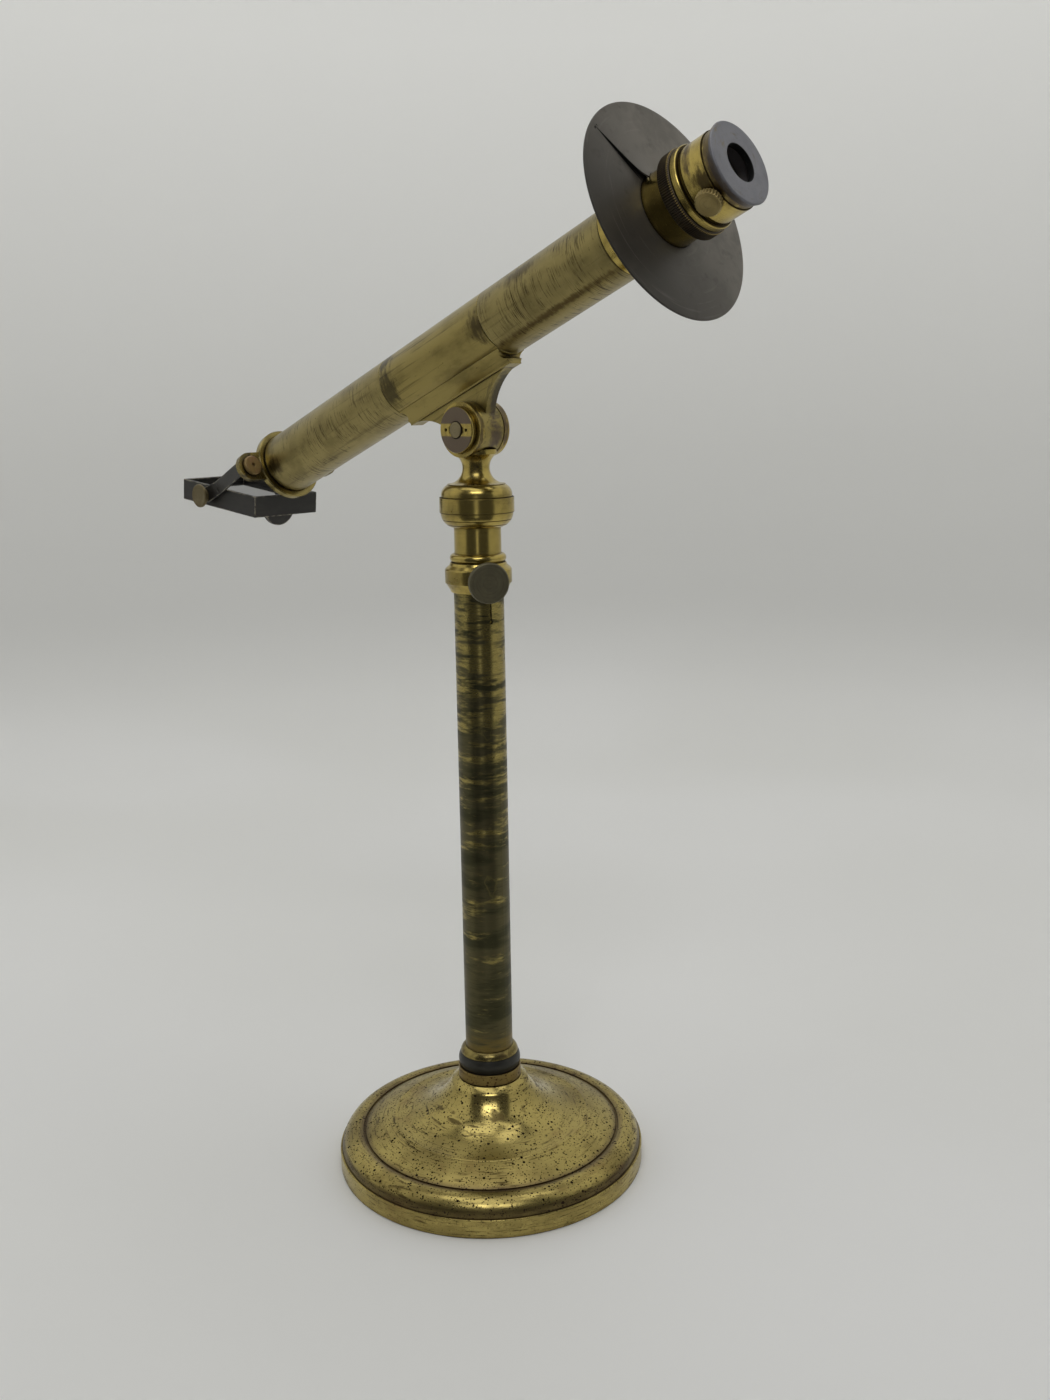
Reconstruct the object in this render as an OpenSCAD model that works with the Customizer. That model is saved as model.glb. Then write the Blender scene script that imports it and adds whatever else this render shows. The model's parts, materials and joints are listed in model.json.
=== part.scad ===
// Polariscope: a black-glass mirror and an analyser on a tilting tube, on a telescoping pillar and round foot.
// Millimetres, +Z up. The origin is the centre of the foot's bottom face; the eye end points to +X.

/* [Foot] */
// Diameter of the foot at the floor
foot_d = 127; // [112:1:150]
// Height of the straight rim
foot_rim_h = 7.8; // [5:0.2:9]
// Radius of the round moulding above the rim
foot_ovolo_r = 6.9; // [5:0.1:8]
// Radius of the dome's curve in section
foot_dome_r = 60; // [40:1:100]
// Diameter of the turned step on the dome
foot_step_d = 82; // [70:0.2:88]
// Height of the turned step above the floor
foot_step_z = 19.3; // [18:0.1:22]
// Radius of the hollow between dome and neck
foot_scotia_r = 28.4; // [26:0.2:28.8]
// Height of the cone's shoulder below the neck
foot_shoulder_z = 35.2; // [33:0.1:37]
// Diameter of the neck band
foot_neck_d = 25.9; // [25:0.1:28]
// Height of the foot up to the blackened bead
foot_h = 41.5; // [40:0.5:46]
// Width of the ring that stands on the floor
foot_tread = 8.5; // [6:0.5:12]
// Height of the hollow under the neck
foot_seat_z = 27; // [24:0.5:29]

/* [Pillar] */
// Outside diameter of the pillar tube
pillar_d = 19.5; // [19.2:0.05:20.4]
// Length of the pillar tube
pillar_len = 206.4; // [190:0.5:260]
// Height of the blackened bead
bead_h = 5.8; // [4:0.1:8]
// Diameter of the blackened bead
bead_d = 25.6; // [25:0.1:28]
// Height of the bright ring above the bead
socket_h = 3; // [2.4:0.1:4]
// Diameter of the bright ring above the bead
socket_d = 23.9; // [23.6:0.1:25]
// Diameter of the stud that holds pillar and foot together
stud_d = 9; // [7:0.5:10]
// Width across the flats of the nut under the foot
foot_nut_af = 16; // [14:0.5:19]

/* [Clamp] */
// Height of the clamp collar
collar_h = 11.4; // [9.6:0.2:14]
// Diameter of the clamp collar
collar_d = 26; // [25:0.2:30]
// Height of the bead at the mouth of the pillar
lip_h = 3.4; // [2.6:0.1:4]
// Diameter of the bead at the mouth of the pillar
lip_d = 21.9; // [21.4:0.1:23]
// Length of the saw cut below the collar
slit_below = 11.1; // [6:0.1:20]
// Width of the saw cut
slit_w = 0.6; // [0.4:0.05:1]
// Diameter of the thumbscrew's head
clamp_knob_d = 15.6; // [12:0.1:18]
// Thickness of the thumbscrew's head
clamp_knob_t = 3.2; // [2:0.1:5]
// Distance of the thumbscrew's face from the pillar axis
clamp_reach = 22.6; // [20:0.1:28]
// Bearing of the thumbscrew round the pillar, from the near side towards the eye end
clamp_bearing = 55; // [0:1:90]
// Diameter of the thumbscrew's thread
clamp_thread_d = 4.4; // [3:0.1:5]

/* [Riser] */
// Outside diameter of the sliding riser
riser_d = 18.2; // [17:0.05:18.4]
// Wall of the riser tube
riser_wall = 1; // [0.7:0.05:1.4]
// Length of the riser tube
riser_len = 176; // [130:1:190]
// Length of riser that shows between pillar and bulb
riser_show = 10.2; // [2:0.1:60]
// Diameter of the bulb's band
bulb_d = 28.8; // [27.8:0.1:32]
// Height of the bulb's round belly
belly_h = 5.6; // [4.8:0.1:7]
// Height of the bulb's band
bulb_band_h = 5.8; // [4:0.1:8]
// Height of the bulb's dome
dome_h = 4.8; // [4:0.1:5]

/* [Compass joint] */
// Height of the hinge above the bulb
hinge_rise = 20.6; // [20.4:0.1:26]
// Diameter of the waist below the cheeks
neck_d = 10.4; // [9.4:0.1:11.2]
// Radius of the round hollow of the waist
neck_arc_r = 6; // [5.4:0.1:6.2]
// Diameter of the cheeks
cheek_d = 20.8; // [19:0.1:21]
// Thickness of each cheek
cheek_t = 2.7; // [2:0.1:3.4]
// Width of the tongue between the cheeks
tongue_w = 10.4; // [8:0.1:11]
// Diameter of the tongue
tongue_d = 20.4; // [18:0.1:20.6]
// Diameter of the hinge pin
pin_d = 6; // [4:0.1:8]
// Diameter of the two-hole nut and of the pin's head
cap_d = 17.3; // [15:0.1:18]
// Thickness of the two-hole nut and of the pin's head
cap_t = 1.2; // [0.9:0.1:2]
// Distance between the nut's two holes
spanner_pitch = 10.6; // [10:0.1:12]
// Diameter of the spindle that turns in the bulb
spindle_d = 7.9; // [6:0.1:9]

/* [Tube] */
// Tilt of the tube above the horizontal
tube_tilt = 22.8; // [-40:0.1:75]
// Height of the tube axis above the hinge, square to the tube
axis_rise = 30; // [28:0.1:36]
// Outside diameter of the tube
tube_d = 25.4; // [24.6:0.1:26]
// Wall of the tube
tube_wall = 1.2; // [0.8:0.05:1.4]
// Length of the centre sleeve
sleeve_len = 59; // [52:0.5:70]
// Length of the lower tube
lower_len = 81.5; // [60:0.5:110]
// Length of the upper tube
upper_len = 61.5; // [45:0.5:90]
// Length of the couplings inside the seams
coupling_len = 16; // [10:0.5:24]
// Diameter of the field stops' holes
stop_hole_d = 15; // [10:0.5:18]

/* [Saddle] */
// Thickness of the saddle's web
web_t = 5; // [3:0.1:6]
// Width of the saddle where it meets the tube
flare_w = 14.2; // [11:0.1:17]
// Width of the flare at the web
flare_foot_w = 6.2; // [5:0.1:8]
// Height of the flare's foot above the hinge, square to the tube
flare_z = 13.6; // [12.6:0.1:15]
// Radius of the hollow moulding across the flare's ends
cove_r = 1.5; // [0.8:0.1:1.8]
// Width of the lip between that moulding and the tube
cove_lip = 0.8; // [0.5:0.1:1.2]
// Radius of the web's hollow ends
web_arc_r = 23; // [20:0.5:25]

/* [Eyepiece] */
// Length of the collar behind the shade
end_collar_len = 19.3; // [14:0.1:26]
// Diameter of the collar behind the shade
end_collar_d = 26.2; // [26.1:0.1:28]
// Length of the sleeve in front of the shade
eye_sleeve_len = 8.4; // [6:0.1:12]
// Width of the milled ring
milled_w = 5; // [3:0.1:7]
// Diameter of the milled ring
milled_d = 30; // [29.2:0.1:34]
// Width of the bright flange beside the milled ring
flange_w = 2.6; // [1.5:0.1:4]
// Diameter of the bright flange
flange_d = 29; // [28:0.1:31]
// Width of the groove beside the flange
groove_w = 1; // [0.4:0.1:1.5]
// Length of the analyser's barrel
barrel_len = 10.4; // [10:0.1:16]
// Diameter of the analyser's barrel
barrel_d = 27.2; // [26.4:0.1:28]
// Length of the eye cap
cap_len = 3; // [2.4:0.1:5]
// Diameter of the eye cap's face
eye_cap_d = 28.2; // [27.6:0.1:30]
// Diameter of the sight hole
sight_d = 12.7; // [8:0.1:14]
// Diameter of the analyser's turning tube
turn_d = 19.1; // [18:0.1:20]
// Length of the analyser's turning tube behind the milled ring
turn_len = 18.5; // [14:0.5:20]
// Side of the square prism
prism_side = 10; // [8:0.1:10.8]
// Length of the prism
prism_len = 22; // [16:0.5:24]
// Diameter of the side screw's head
side_knob_d = 8.9; // [7:0.1:9.5]
// Distance of the side screw's face from the tube axis
side_knob_reach = 16.8; // [16:0.1:19]
// Bearing of the side screw from the top of the tube towards the near side
side_knob_bearing = 131; // [0:1:180]

/* [Eye shade] */
// Diameter of the shade
shade_d = 76.2; // [72:0.2:90]
// Thickness of the shade
shade_t = 0.7; // [0.6:0.1:1.2]
// Radius at which the slit ends
slit_end_r = 35.2; // [24:0.2:35.4]
// Width of the slit at the hub
slit_hub_w = 0.7; // [0.4:0.1:2]
// Height of the lifted lip at the hub
lip_lift = 2.6; // [0:0.1:4]
// Bearing of the slit from the top of the tube towards the near side
slit_bearing = 42; // [0:1:180]

/* [Polariser] */
// Thickness of the ring that turns on the lower end
ring_t = 3.5; // [2.5:0.1:4]
// Diameter of the ring
ring_d = 30.2; // [28.6:0.1:33]
// Distance of the lug screws from the tube axis
lug_y = 19.8; // [19:0.1:24]
// Radius of the lugs
lug_r = 6.1; // [5:0.1:7]
// Thickness of the arms
arm_t = 1.3; // [1:0.1:1.5]
// Width of the arms
arm_w = 6; // [5:0.1:8]
// Length from the tube's end to the mirror's pivot
pivot_reach = 40.8; // [40.2:0.1:48]
// Rise of the mirror's pivot over the tube axis
pivot_lift = 1.6; // [0:0.1:2]
// Diameter of the lug screws' heads
arm_screw_d = 8.4; // [6:0.1:9]

/* [Mirror] */
// Slope of the mirror, eye end down
mirror_slope = 6.6; // [-40:0.1:40]
// Length of the mirror tray
tray_len = 53.4; // [44:0.2:54]
// Width of the mirror tray
tray_w = 33.8; // [30:0.2:35]
// Height of the mirror tray
tray_h = 9.2; // [8:0.1:11]
// Wall of the mirror tray
tray_wall = 2.2; // [1.8:0.1:3]
// Floor of the mirror tray
tray_floor = 1.2; // [0.8:0.1:2]
// Distance of the pivot behind the middle of the tray
tray_offset = 7.7; // [4:0.1:7.8]
// Thickness of the glass
glass_t = 3; // [2:0.1:4]
// Depth of the glass below the tray's rim
glass_recess = 2.4; // [1:0.1:3]
// Radius of the half-round finger tab
tab_r = 8.1; // [6:0.1:10]
// Drop of the finger tab below the tray
tab_drop = 4.2; // [3:0.1:4.6]
// Offset of the finger tab towards the near side
tab_offset = 3.4; // [0:0.1:5]
// Diameter of the mirror thumbscrew's head
mirror_knob_d = 10.2; // [8:0.1:12]
// Thickness of the mirror thumbscrew's head
mirror_knob_t = 2.4; // [1.8:0.1:4]

/* [Clearances] */
// Radial clearance of turning and sliding fits
run_gap = 0.05; // [0.02:0.01:0.08]
// Radial clearance of soldered and screwed seats
seat_gap = 0.02; // [0.01:0.01:0.04]
// Clearance between pieces that turn past each other
side_gap = 0.3; // [0.2:0.05:0.4]

/* [Hidden] */
$fn = 96;

// Finishes
polished_brass = "#b08d3a";
pale_brass = "#a98f4a";
dull_brass = "#7d6a34";
blackened = "#3a3733";
black_paint = "#26241f";
black_glass = "#0d0e10";
calcite = "#d9dedc";
cork = "#9b7447";

// Overrun of cutting tools, and the small bevel on turned edges
cut = 1;
bevel = 0.4;

// Foot
foot_r = foot_d / 2;
foot_ledge = 0.9;
ovolo_x = foot_r - foot_ledge - foot_ovolo_r;
ovolo_top = foot_rim_h + foot_ovolo_r;
quirk_r = 0.7;
step_r = foot_step_d / 2;
step_h = 0.2;
dome_foot = [ovolo_x - 2.5, ovolo_top - 0.6];
dome_head = [step_r, foot_step_z];
scotia_z = foot_step_z + step_h + foot_scotia_r;
shoulder_r = step_r - sqrt(pow(foot_scotia_r, 2) - pow(scotia_z - foot_shoulder_z, 2));
neck_r = foot_neck_d / 2;
neck_foot = foot_shoulder_z + 1.5;
hollow_wall = 6.6;
washer_t = 2;
washer_r = neck_r - 1.5;
foot_nut_t = 7;
nut_bottom = foot_seat_z - washer_t - foot_nut_t;
stud_r = stud_d / 2;
stud_tip = nut_bottom - 1.5;

// Heights up the stand
bead_round = 5.5;
bead_bore_r = stud_r + 3;
bead_top = foot_h + bead_h;
socket_top = bead_top + socket_h;
socket_round = socket_h + 0.3;
socket_floor = bead_top + 0.8;
pillar_r = pillar_d / 2;
pillar_top = socket_floor + pillar_len;
lip_rim = 0.8;
lip_top = pillar_top + lip_rim;
lip_bottom = lip_top - lip_h;
collar_r = collar_d / 2;
collar_bottom = lip_bottom - collar_h;
collar_edge = pillar_r + 1.1;
clamp_z = collar_bottom + collar_h / 2;
slit_foot = collar_bottom - slit_below;
slit_turn = 17;
riser_r = riser_d / 2;
pillar_bore_r = riser_r + run_gap;
bulb_r = bulb_d / 2;
bulb_bottom = lip_top + riser_show;
bulb_web = bulb_bottom + belly_h;
band_top = bulb_web + bulb_band_h;
bulb_top = band_top + dome_h;
belly_step = 0.4;
belly_round = belly_h + 0.3;
dome_step = 0.7;
dome_round = 4.6;
dome_sink = 0.6;
hinge_z = bulb_top + hinge_rise;

// Compass joint
spindle_r = spindle_d / 2;
spindle_thread_r = spindle_r - 1;
spindle_tip = bulb_bottom + 0.2;
swivel_nut_t = 4.2;
swivel_nut_r = riser_r - riser_wall - 1.3;
waist_x = neck_d / 2 + neck_arc_r;
waist_z = bulb_top + 0.2 + neck_arc_r;
cup_r = waist_x - neck_arc_r / 2;
cup_top = hinge_z - cheek_d / 2 + 3;
slot_half = tongue_w / 2 + 2 * run_gap;
cheek_face = slot_half + cheek_t;
pin_r = pin_d / 2;
cap_r = cap_d / 2;
cap_outer = cheek_face + cap_t;
spanner_hole_r = 0.65;

// Stations along the tube, from the foot of the hinge's normal
tube_r = tube_d / 2;
tube_bore_r = tube_r - tube_wall;
coupling_wall = 1.3;
lower_seam = -sleeve_len / 2;
upper_seam = sleeve_len / 2;
lower_end = lower_seam - lower_len;
upper_end = upper_seam + upper_len;
stop_t = 1.2;
spigot_len = 10;
collar_end = upper_end + end_collar_len;
eye_sleeve_end = collar_end + shade_t + eye_sleeve_len;
turn_gap = 0.15;
milled_start = eye_sleeve_end + turn_gap;
flange_start = milled_start + milled_w;
groove_start = flange_start + flange_w;
barrel_start = groove_start + groove_w;
barrel_end = barrel_start + barrel_len;
cap_face = barrel_end + cap_len;

// Analyser
turn_r = turn_d / 2;
turn_bore_r = turn_r - 0.75;
turn_start = milled_start - turn_len;
sleeve_spigot_r = turn_r + run_gap + 1.4;
milled_seat_r = flange_d / 2 - 2.8;
barrel_r = barrel_d / 2;
step_ring = 1.6;
cap_spigot_r = barrel_r - 2;
cap_seat = barrel_end - 5.4;
side_thread_r = 1.4;
side_knob_seat = barrel_r + 0.4;
cork_end = cap_seat - 0.4;
cork_margin = 1;
cork_start = cork_end - prism_len - 2 * cork_margin;
cement = 0.05;

// Polariser
ring_front = lower_end - turn_gap;
ring_back = ring_front - ring_t;
ring_bore_r = tube_bore_r - 1.8;
lug_front = ring_front - 0.9;
arm_in = tray_w / 2 + side_gap;
arm_out = arm_in + arm_t;
arm_bend_y = lug_y + lug_r - 1.3;
arm_foot_in = tube_r + 1;
pivot_s = lower_end - pivot_reach;
pivot_n = axis_rise + pivot_lift;
arm_slant_s = pivot_s + 10;
arm_run = ring_back - pivot_s;
arm_turn = atan2(pivot_lift, arm_run);
arm_screw_r = 1.6;
arm_screw_head = 1.8;

// Mirror
pivot_r = 1.5;
mirror_x = pivot_s * cos(tube_tilt) - pivot_n * sin(tube_tilt);
mirror_z = hinge_z + pivot_s * sin(tube_tilt) + pivot_n * cos(tube_tilt);
tray_front = tray_len / 2 + tray_offset;
tray_back = tray_offset - tray_len / 2;
tray_top = tray_h / 2;
glass_gap = 0.2;
pivot_tip = tray_w / 2 - tray_wall + 0.3;
pivot_seat = arm_out + 0.1;
pivot_collar_r = 2.6;
mirror_knob_seat = arm_out + 1.2;

// Centre of the arc of radius r that runs from a to b, with the arc on the right of that line
function arc_centre(a, b, r) =
    let (middle = (a + b) / 2, half = norm(b - a) / 2, way = (b - a) / norm(b - a))
    middle + sqrt(r * r - half * half) * [-way[1], way[0]];

// A flat band of a half profile, from the axis out to a radius
module band(z0, z1, r) translate([0, z0]) square([r, z1 - z0]);

// A turned solid from the points of its half profile
module turned(points) rotate_extrude() polygon(points);

// A plain round ring
module ring(z0, z1, outer, inner) translate([0, 0, z0]) difference() {
    cylinder(h = z1 - z0, r = outer);
    translate([0, 0, -cut]) cylinder(h = z1 - z0 + 2 * cut, r = inner);
}

// A screw along Z: a thread up to its seat, then a round head with bevelled edges
module round_head(tip, thread_r, seat, head_r, head_t) turned([
    [0, tip], [thread_r, tip], [thread_r, seat], [head_r - bevel, seat], [head_r, seat + bevel],
    [head_r, seat + head_t - bevel], [head_r - bevel, seat + head_t], [0, seat + head_t]
]);

// Frame of the tube: Z along the tube to the eye, -X upwards, Y across
module on_tube() translate([0, 0, hinge_z]) rotate([0, 90 - tube_tilt, 0])
    translate([-axis_rise, 0, 0]) children();

// Frame of the hinge: X along the tube, Z towards the tube
module on_hinge() translate([0, 0, hinge_z]) rotate([0, -tube_tilt, 0]) children();

// Frame of the hinge pin: Z towards the near side
module on_pin() translate([0, 0, hinge_z]) rotate([90, 0, 0]) children();

// Frame of the mirror: origin in its pivot, X along the tray towards the eye end, Z out of the glass
module on_mirror() translate([mirror_x, 0, mirror_z]) rotate([0, mirror_slope, 0]) children();

// Frame of the clamp screw: Z outwards along the screw
module on_clamp() translate([0, 0, clamp_z]) rotate([0, 90, clamp_bearing - 90]) children();

// Frame of the analyser's side screw: Z outwards along the screw
module on_side_screw() on_tube() translate([0, 0, barrel_start + barrel_len / 2])
    rotate([0, 90, 180 + side_knob_bearing]) children();

// Stand

module foot() color(polished_brass) rotate_extrude() difference() {
    union() {
        // Straight rim
        polygon([
            [0, 0], [foot_r - bevel, 0], [foot_r, bevel], [foot_r, foot_rim_h - bevel],
            [foot_r - bevel, foot_rim_h], [0, foot_rim_h]
        ]);
        // Round moulding
        intersection() {
            translate([ovolo_x, foot_rim_h]) circle(r = foot_ovolo_r);
            band(foot_rim_h, ovolo_top, foot_r);
        }
        // Shallow dome up to the turned step
        intersection() {
            translate(arc_centre(dome_foot, dome_head, foot_dome_r)) circle(r = foot_dome_r);
            band(0, foot_step_z, dome_foot[0]);
        }
        // Hollow-sided cone with a sloping shoulder
        difference() {
            band(0, foot_shoulder_z, step_r);
            translate([step_r, scotia_z]) circle(r = foot_scotia_r);
        }
        polygon([
            [0, foot_shoulder_z], [shoulder_r, foot_shoulder_z], [neck_r + bevel, neck_foot], [0, neck_foot]
        ]);
        // Neck band above a fine groove
        polygon([
            [0, neck_foot], [neck_r - bevel, neck_foot], [neck_r, neck_foot + bevel],
            [neck_r, foot_h], [0, foot_h]
        ]);
    }
    // Fine groove where the moulding meets the dome
    translate(dome_foot) circle(r = quirk_r);
    // Hollow below, with a flat seat for washer and nut
    polygon([
        [0, -cut], [foot_r - foot_tread, -cut], [foot_r - foot_tread, foot_rim_h - bevel],
        [step_r, foot_step_z - hollow_wall], [step_r / 2, foot_step_z - hollow_wall / 3],
        [neck_r, foot_seat_z - washer_t], [neck_r, foot_seat_z], [0, foot_seat_z]
    ]);
    band(foot_seat_z - cut, foot_h + cut, stud_r + seat_gap);
}

module foot_washer() color(dull_brass)
    ring(foot_seat_z - washer_t, foot_seat_z, washer_r, stud_r + seat_gap);

module foot_nut() color(dull_brass) translate([0, 0, nut_bottom]) difference() {
    cylinder(h = foot_nut_t, d = foot_nut_af / cos(30), $fn = 6);
    translate([0, 0, -cut]) cylinder(h = foot_nut_t + 2 * cut, r = stud_r + seat_gap);
}

module pillar_bead() color(blackened) rotate_extrude() difference() {
    intersection() {
        translate([bead_d / 2 - bead_round, foot_h + bead_h / 2]) circle(r = bead_round);
        band(foot_h, bead_top, bead_d / 2);
    }
    band(foot_h - cut, bead_top + cut, bead_bore_r + seat_gap);
}

module pillar_socket() color(polished_brass) rotate_extrude() difference() {
    union() {
        band(stud_tip, socket_floor, stud_r);
        band(foot_h, socket_floor, bead_bore_r);
        // Quarter-round ring above the bead
        intersection() {
            translate([socket_d / 2 - socket_round, bead_top]) circle(r = socket_round);
            band(bead_top, socket_top, socket_d / 2);
        }
    }
    band(socket_floor, socket_top + cut, pillar_r + seat_gap);
}

module pillar_tube() color(dull_brass) difference() {
    ring(socket_floor, pillar_top, pillar_r, pillar_bore_r);
    // Saw cut down from the mouth, ending in a drilled hole
    rotate([0, 0, clamp_bearing + slit_turn - 90]) {
        translate([0, -slit_w / 2, slit_foot]) cube([pillar_d, slit_w, pillar_top - slit_foot + cut]);
        translate([0, 0, slit_foot]) rotate([0, 90, 0]) cylinder(h = pillar_d, r = slit_w + 0.15);
    }
}

module clamp_collar() color(polished_brass) difference() {
    turned([
        [pillar_r + seat_gap, collar_bottom], [collar_edge, collar_bottom],
        [collar_edge + bevel, collar_bottom + 1], [collar_r - bevel, collar_bottom + 3.2],
        [collar_r, collar_bottom + 3.6], [collar_r, lip_bottom - 2.8], [collar_r - bevel, lip_bottom - 2.2],
        [collar_edge + bevel, lip_bottom - 1], [collar_edge, lip_bottom], [pillar_r + seat_gap, lip_bottom]
    ]);
    on_clamp() cylinder(h = collar_d, r = clamp_thread_d / 2 + run_gap);
}

module pillar_lip() color(polished_brass) rotate_extrude() difference() {
    union() {
        band(lip_bottom, lip_top, lip_d / 2 - lip_h / 2);
        translate([lip_d / 2 - lip_h / 2, lip_bottom + lip_h / 2]) circle(d = lip_h);
    }
    band(lip_bottom - cut, lip_top + cut, pillar_bore_r + seat_gap);
    band(lip_bottom - cut, pillar_top, pillar_r + seat_gap);
}

module clamp_screw() color(dull_brass) on_clamp() {
    thread_r = clamp_thread_d / 2;
    tip = pillar_r + side_gap;
    neck = collar_r + side_gap;
    round_head(tip, thread_r, clamp_reach - clamp_knob_t, clamp_knob_d / 2, clamp_knob_t);
    translate([0, 0, neck]) cylinder(h = clamp_reach - clamp_knob_t - neck, r = thread_r + 1);
}

// Riser and head

module riser_tube() color(polished_brass)
    ring(bulb_web - riser_len, bulb_web, riser_r, riser_r - riser_wall);

module riser_bulb() color(polished_brass) rotate_extrude() difference() {
    union() {
        // Round belly, straight band and round dome
        intersection() {
            translate([bulb_r - belly_step - belly_round, bulb_web]) circle(r = belly_round);
            band(bulb_bottom, bulb_web, bulb_r);
        }
        band(bulb_web, band_top, bulb_r);
        intersection() {
            translate([bulb_r - dome_step - dome_round, band_top + dome_sink]) circle(r = dome_round);
            band(band_top, bulb_top, bulb_r);
        }
        band(band_top, bulb_top, bulb_r - dome_step - dome_round);
    }
    band(bulb_bottom - cut, bulb_web, riser_r + seat_gap);
    band(bulb_web - cut, bulb_top + cut, spindle_r + run_gap);
}

module joint_fork() color(polished_brass) difference() {
    union() {
        // Waisted neck on its spindle
        rotate_extrude() {
            band(spindle_tip, bulb_web, spindle_thread_r);
            band(bulb_web, bulb_top, spindle_r);
            difference() {
                union() {
                    band(bulb_top, waist_z, waist_x);
                    band(waist_z, cup_top, cup_r);
                }
                translate([waist_x, waist_z]) circle(r = neck_arc_r);
            }
        }
        // Cheeks
        for (side = [-1, 1]) on_pin() translate([0, 0, side * (slot_half + cheek_t / 2)])
            cylinder(h = cheek_t, d = cheek_d, center = true);
    }
    // Round-bottomed slot for the tongue, and the pin's hole
    on_pin() cylinder(h = 2 * slot_half, r = tongue_d / 2 + side_gap, center = true);
    on_pin() cylinder(h = 4 * slot_half, r = pin_r + seat_gap, center = true);
    // Room for the nut and the pin's head outside the cheeks
    for (side = [-1, 1]) on_pin() translate([0, 0, side * (cheek_face + cap_t)])
        cylinder(h = 2 * cap_t, r = cap_r + side_gap, center = true);
}

module swivel_nut() color(dull_brass)
    ring(bulb_web - swivel_nut_t, bulb_web, swivel_nut_r, spindle_thread_r + seat_gap);

module hinge_pin() color(polished_brass) on_pin() turned([
    [0, -cap_outer], [cap_r - 2 * bevel, -cap_outer], [cap_r, bevel - cap_outer], [cap_r, -cheek_face],
    [pin_r, -cheek_face], [pin_r, cap_outer], [pin_r - bevel / 2, cap_outer + bevel / 2],
    [0, cap_outer + bevel / 2]
]);

module hinge_nut() color(polished_brass) on_pin() difference() {
    turned([
        [pin_r + seat_gap, cheek_face], [cap_r, cheek_face], [cap_r, cap_outer - bevel],
        [cap_r - bevel, cap_outer], [pin_r + bevel, cap_outer], [pin_r + seat_gap, cap_outer - bevel]
    ]);
    for (side = [-1, 1]) translate([side * spanner_pitch / 2, 0, cheek_face - cut])
        cylinder(h = cap_t + 2 * cut, r = spanner_hole_r);
}

// Tube

module tube_saddle() color(pale_brass) on_hinge() difference() {
    lip = 0.7;
    edge = flare_w / 2;
    foot_edge = flare_foot_w / 2;
    seat = axis_rise - sqrt(tube_r * tube_r - edge * edge);
    union() {
        rotate([90, 0, 0]) cylinder(h = tongue_w, d = tongue_d, center = true);
        // Web with hollow ends that run into the tongue
        rotate([90, 0, 0]) linear_extrude(web_t, center = true) difference() {
            translate([-sleeve_len / 2 + 1, 0]) square([sleeve_len - 2, flare_z + lip]);
            for (side = [-1, 1]) translate([side * (sleeve_len / 2 + 0.5), flare_z + bevel - web_arc_r])
                circle(r = web_arc_r);
        }
        // Flare up to the tube
        rotate([90, 0, 90]) linear_extrude(sleeve_len - 0.6, center = true) polygon([
            [-foot_edge, flare_z], [foot_edge, flare_z], [foot_edge, flare_z + lip], [edge, seat - 0.2],
            [edge, axis_rise], [-edge, axis_rise], [-edge, seat - 0.2], [-foot_edge, flare_z + lip]
        ]);
    }
    translate([0, 0, axis_rise]) rotate([0, 90, 0])
        cylinder(h = 2 * sleeve_len, r = tube_r + seat_gap, center = true);
    rotate([90, 0, 0]) cylinder(h = 2 * tongue_w, r = pin_r + run_gap, center = true);
    // Hollow moulding across each end of the flare
    for (side = [-1, 1]) translate([side * (sleeve_len / 2 - 0.3), 0, seat - cove_r - cove_lip])
        rotate([90, 0, 0]) cylinder(h = 2 * flare_w, r = cove_r, center = true);
}

module centre_sleeve() color(dull_brass) on_tube() ring(lower_seam, upper_seam, tube_r, tube_bore_r);

module lower_tube() color(pale_brass) on_tube() ring(lower_end, lower_seam, tube_r, tube_bore_r);

module upper_tube() color(pale_brass) on_tube() ring(upper_seam, upper_end, tube_r, tube_bore_r);

module coupling(seam) color(dull_brass) on_tube() ring(
    seam - coupling_len / 2, seam + coupling_len / 2, tube_bore_r - seat_gap, tube_bore_r - coupling_wall
);

module lower_coupling() coupling(lower_seam);

module upper_coupling() coupling(upper_seam);

module field_stops() color(blackened) on_tube()
    for (station = [lower_end + lower_len / 2, upper_seam + upper_len / 2])
        ring(station - stop_t / 2, station + stop_t / 2, tube_bore_r - seat_gap, stop_hole_d / 2);

module end_collar() color(polished_brass) on_tube() turned([
    [sleeve_spigot_r + seat_gap, upper_end - spigot_len], [tube_bore_r - seat_gap, upper_end - spigot_len],
    [tube_bore_r - seat_gap, upper_end], [end_collar_d / 2 - bevel, upper_end],
    [end_collar_d / 2, upper_end + bevel], [end_collar_d / 2, collar_end],
    [sleeve_spigot_r + seat_gap, collar_end]
]);

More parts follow.
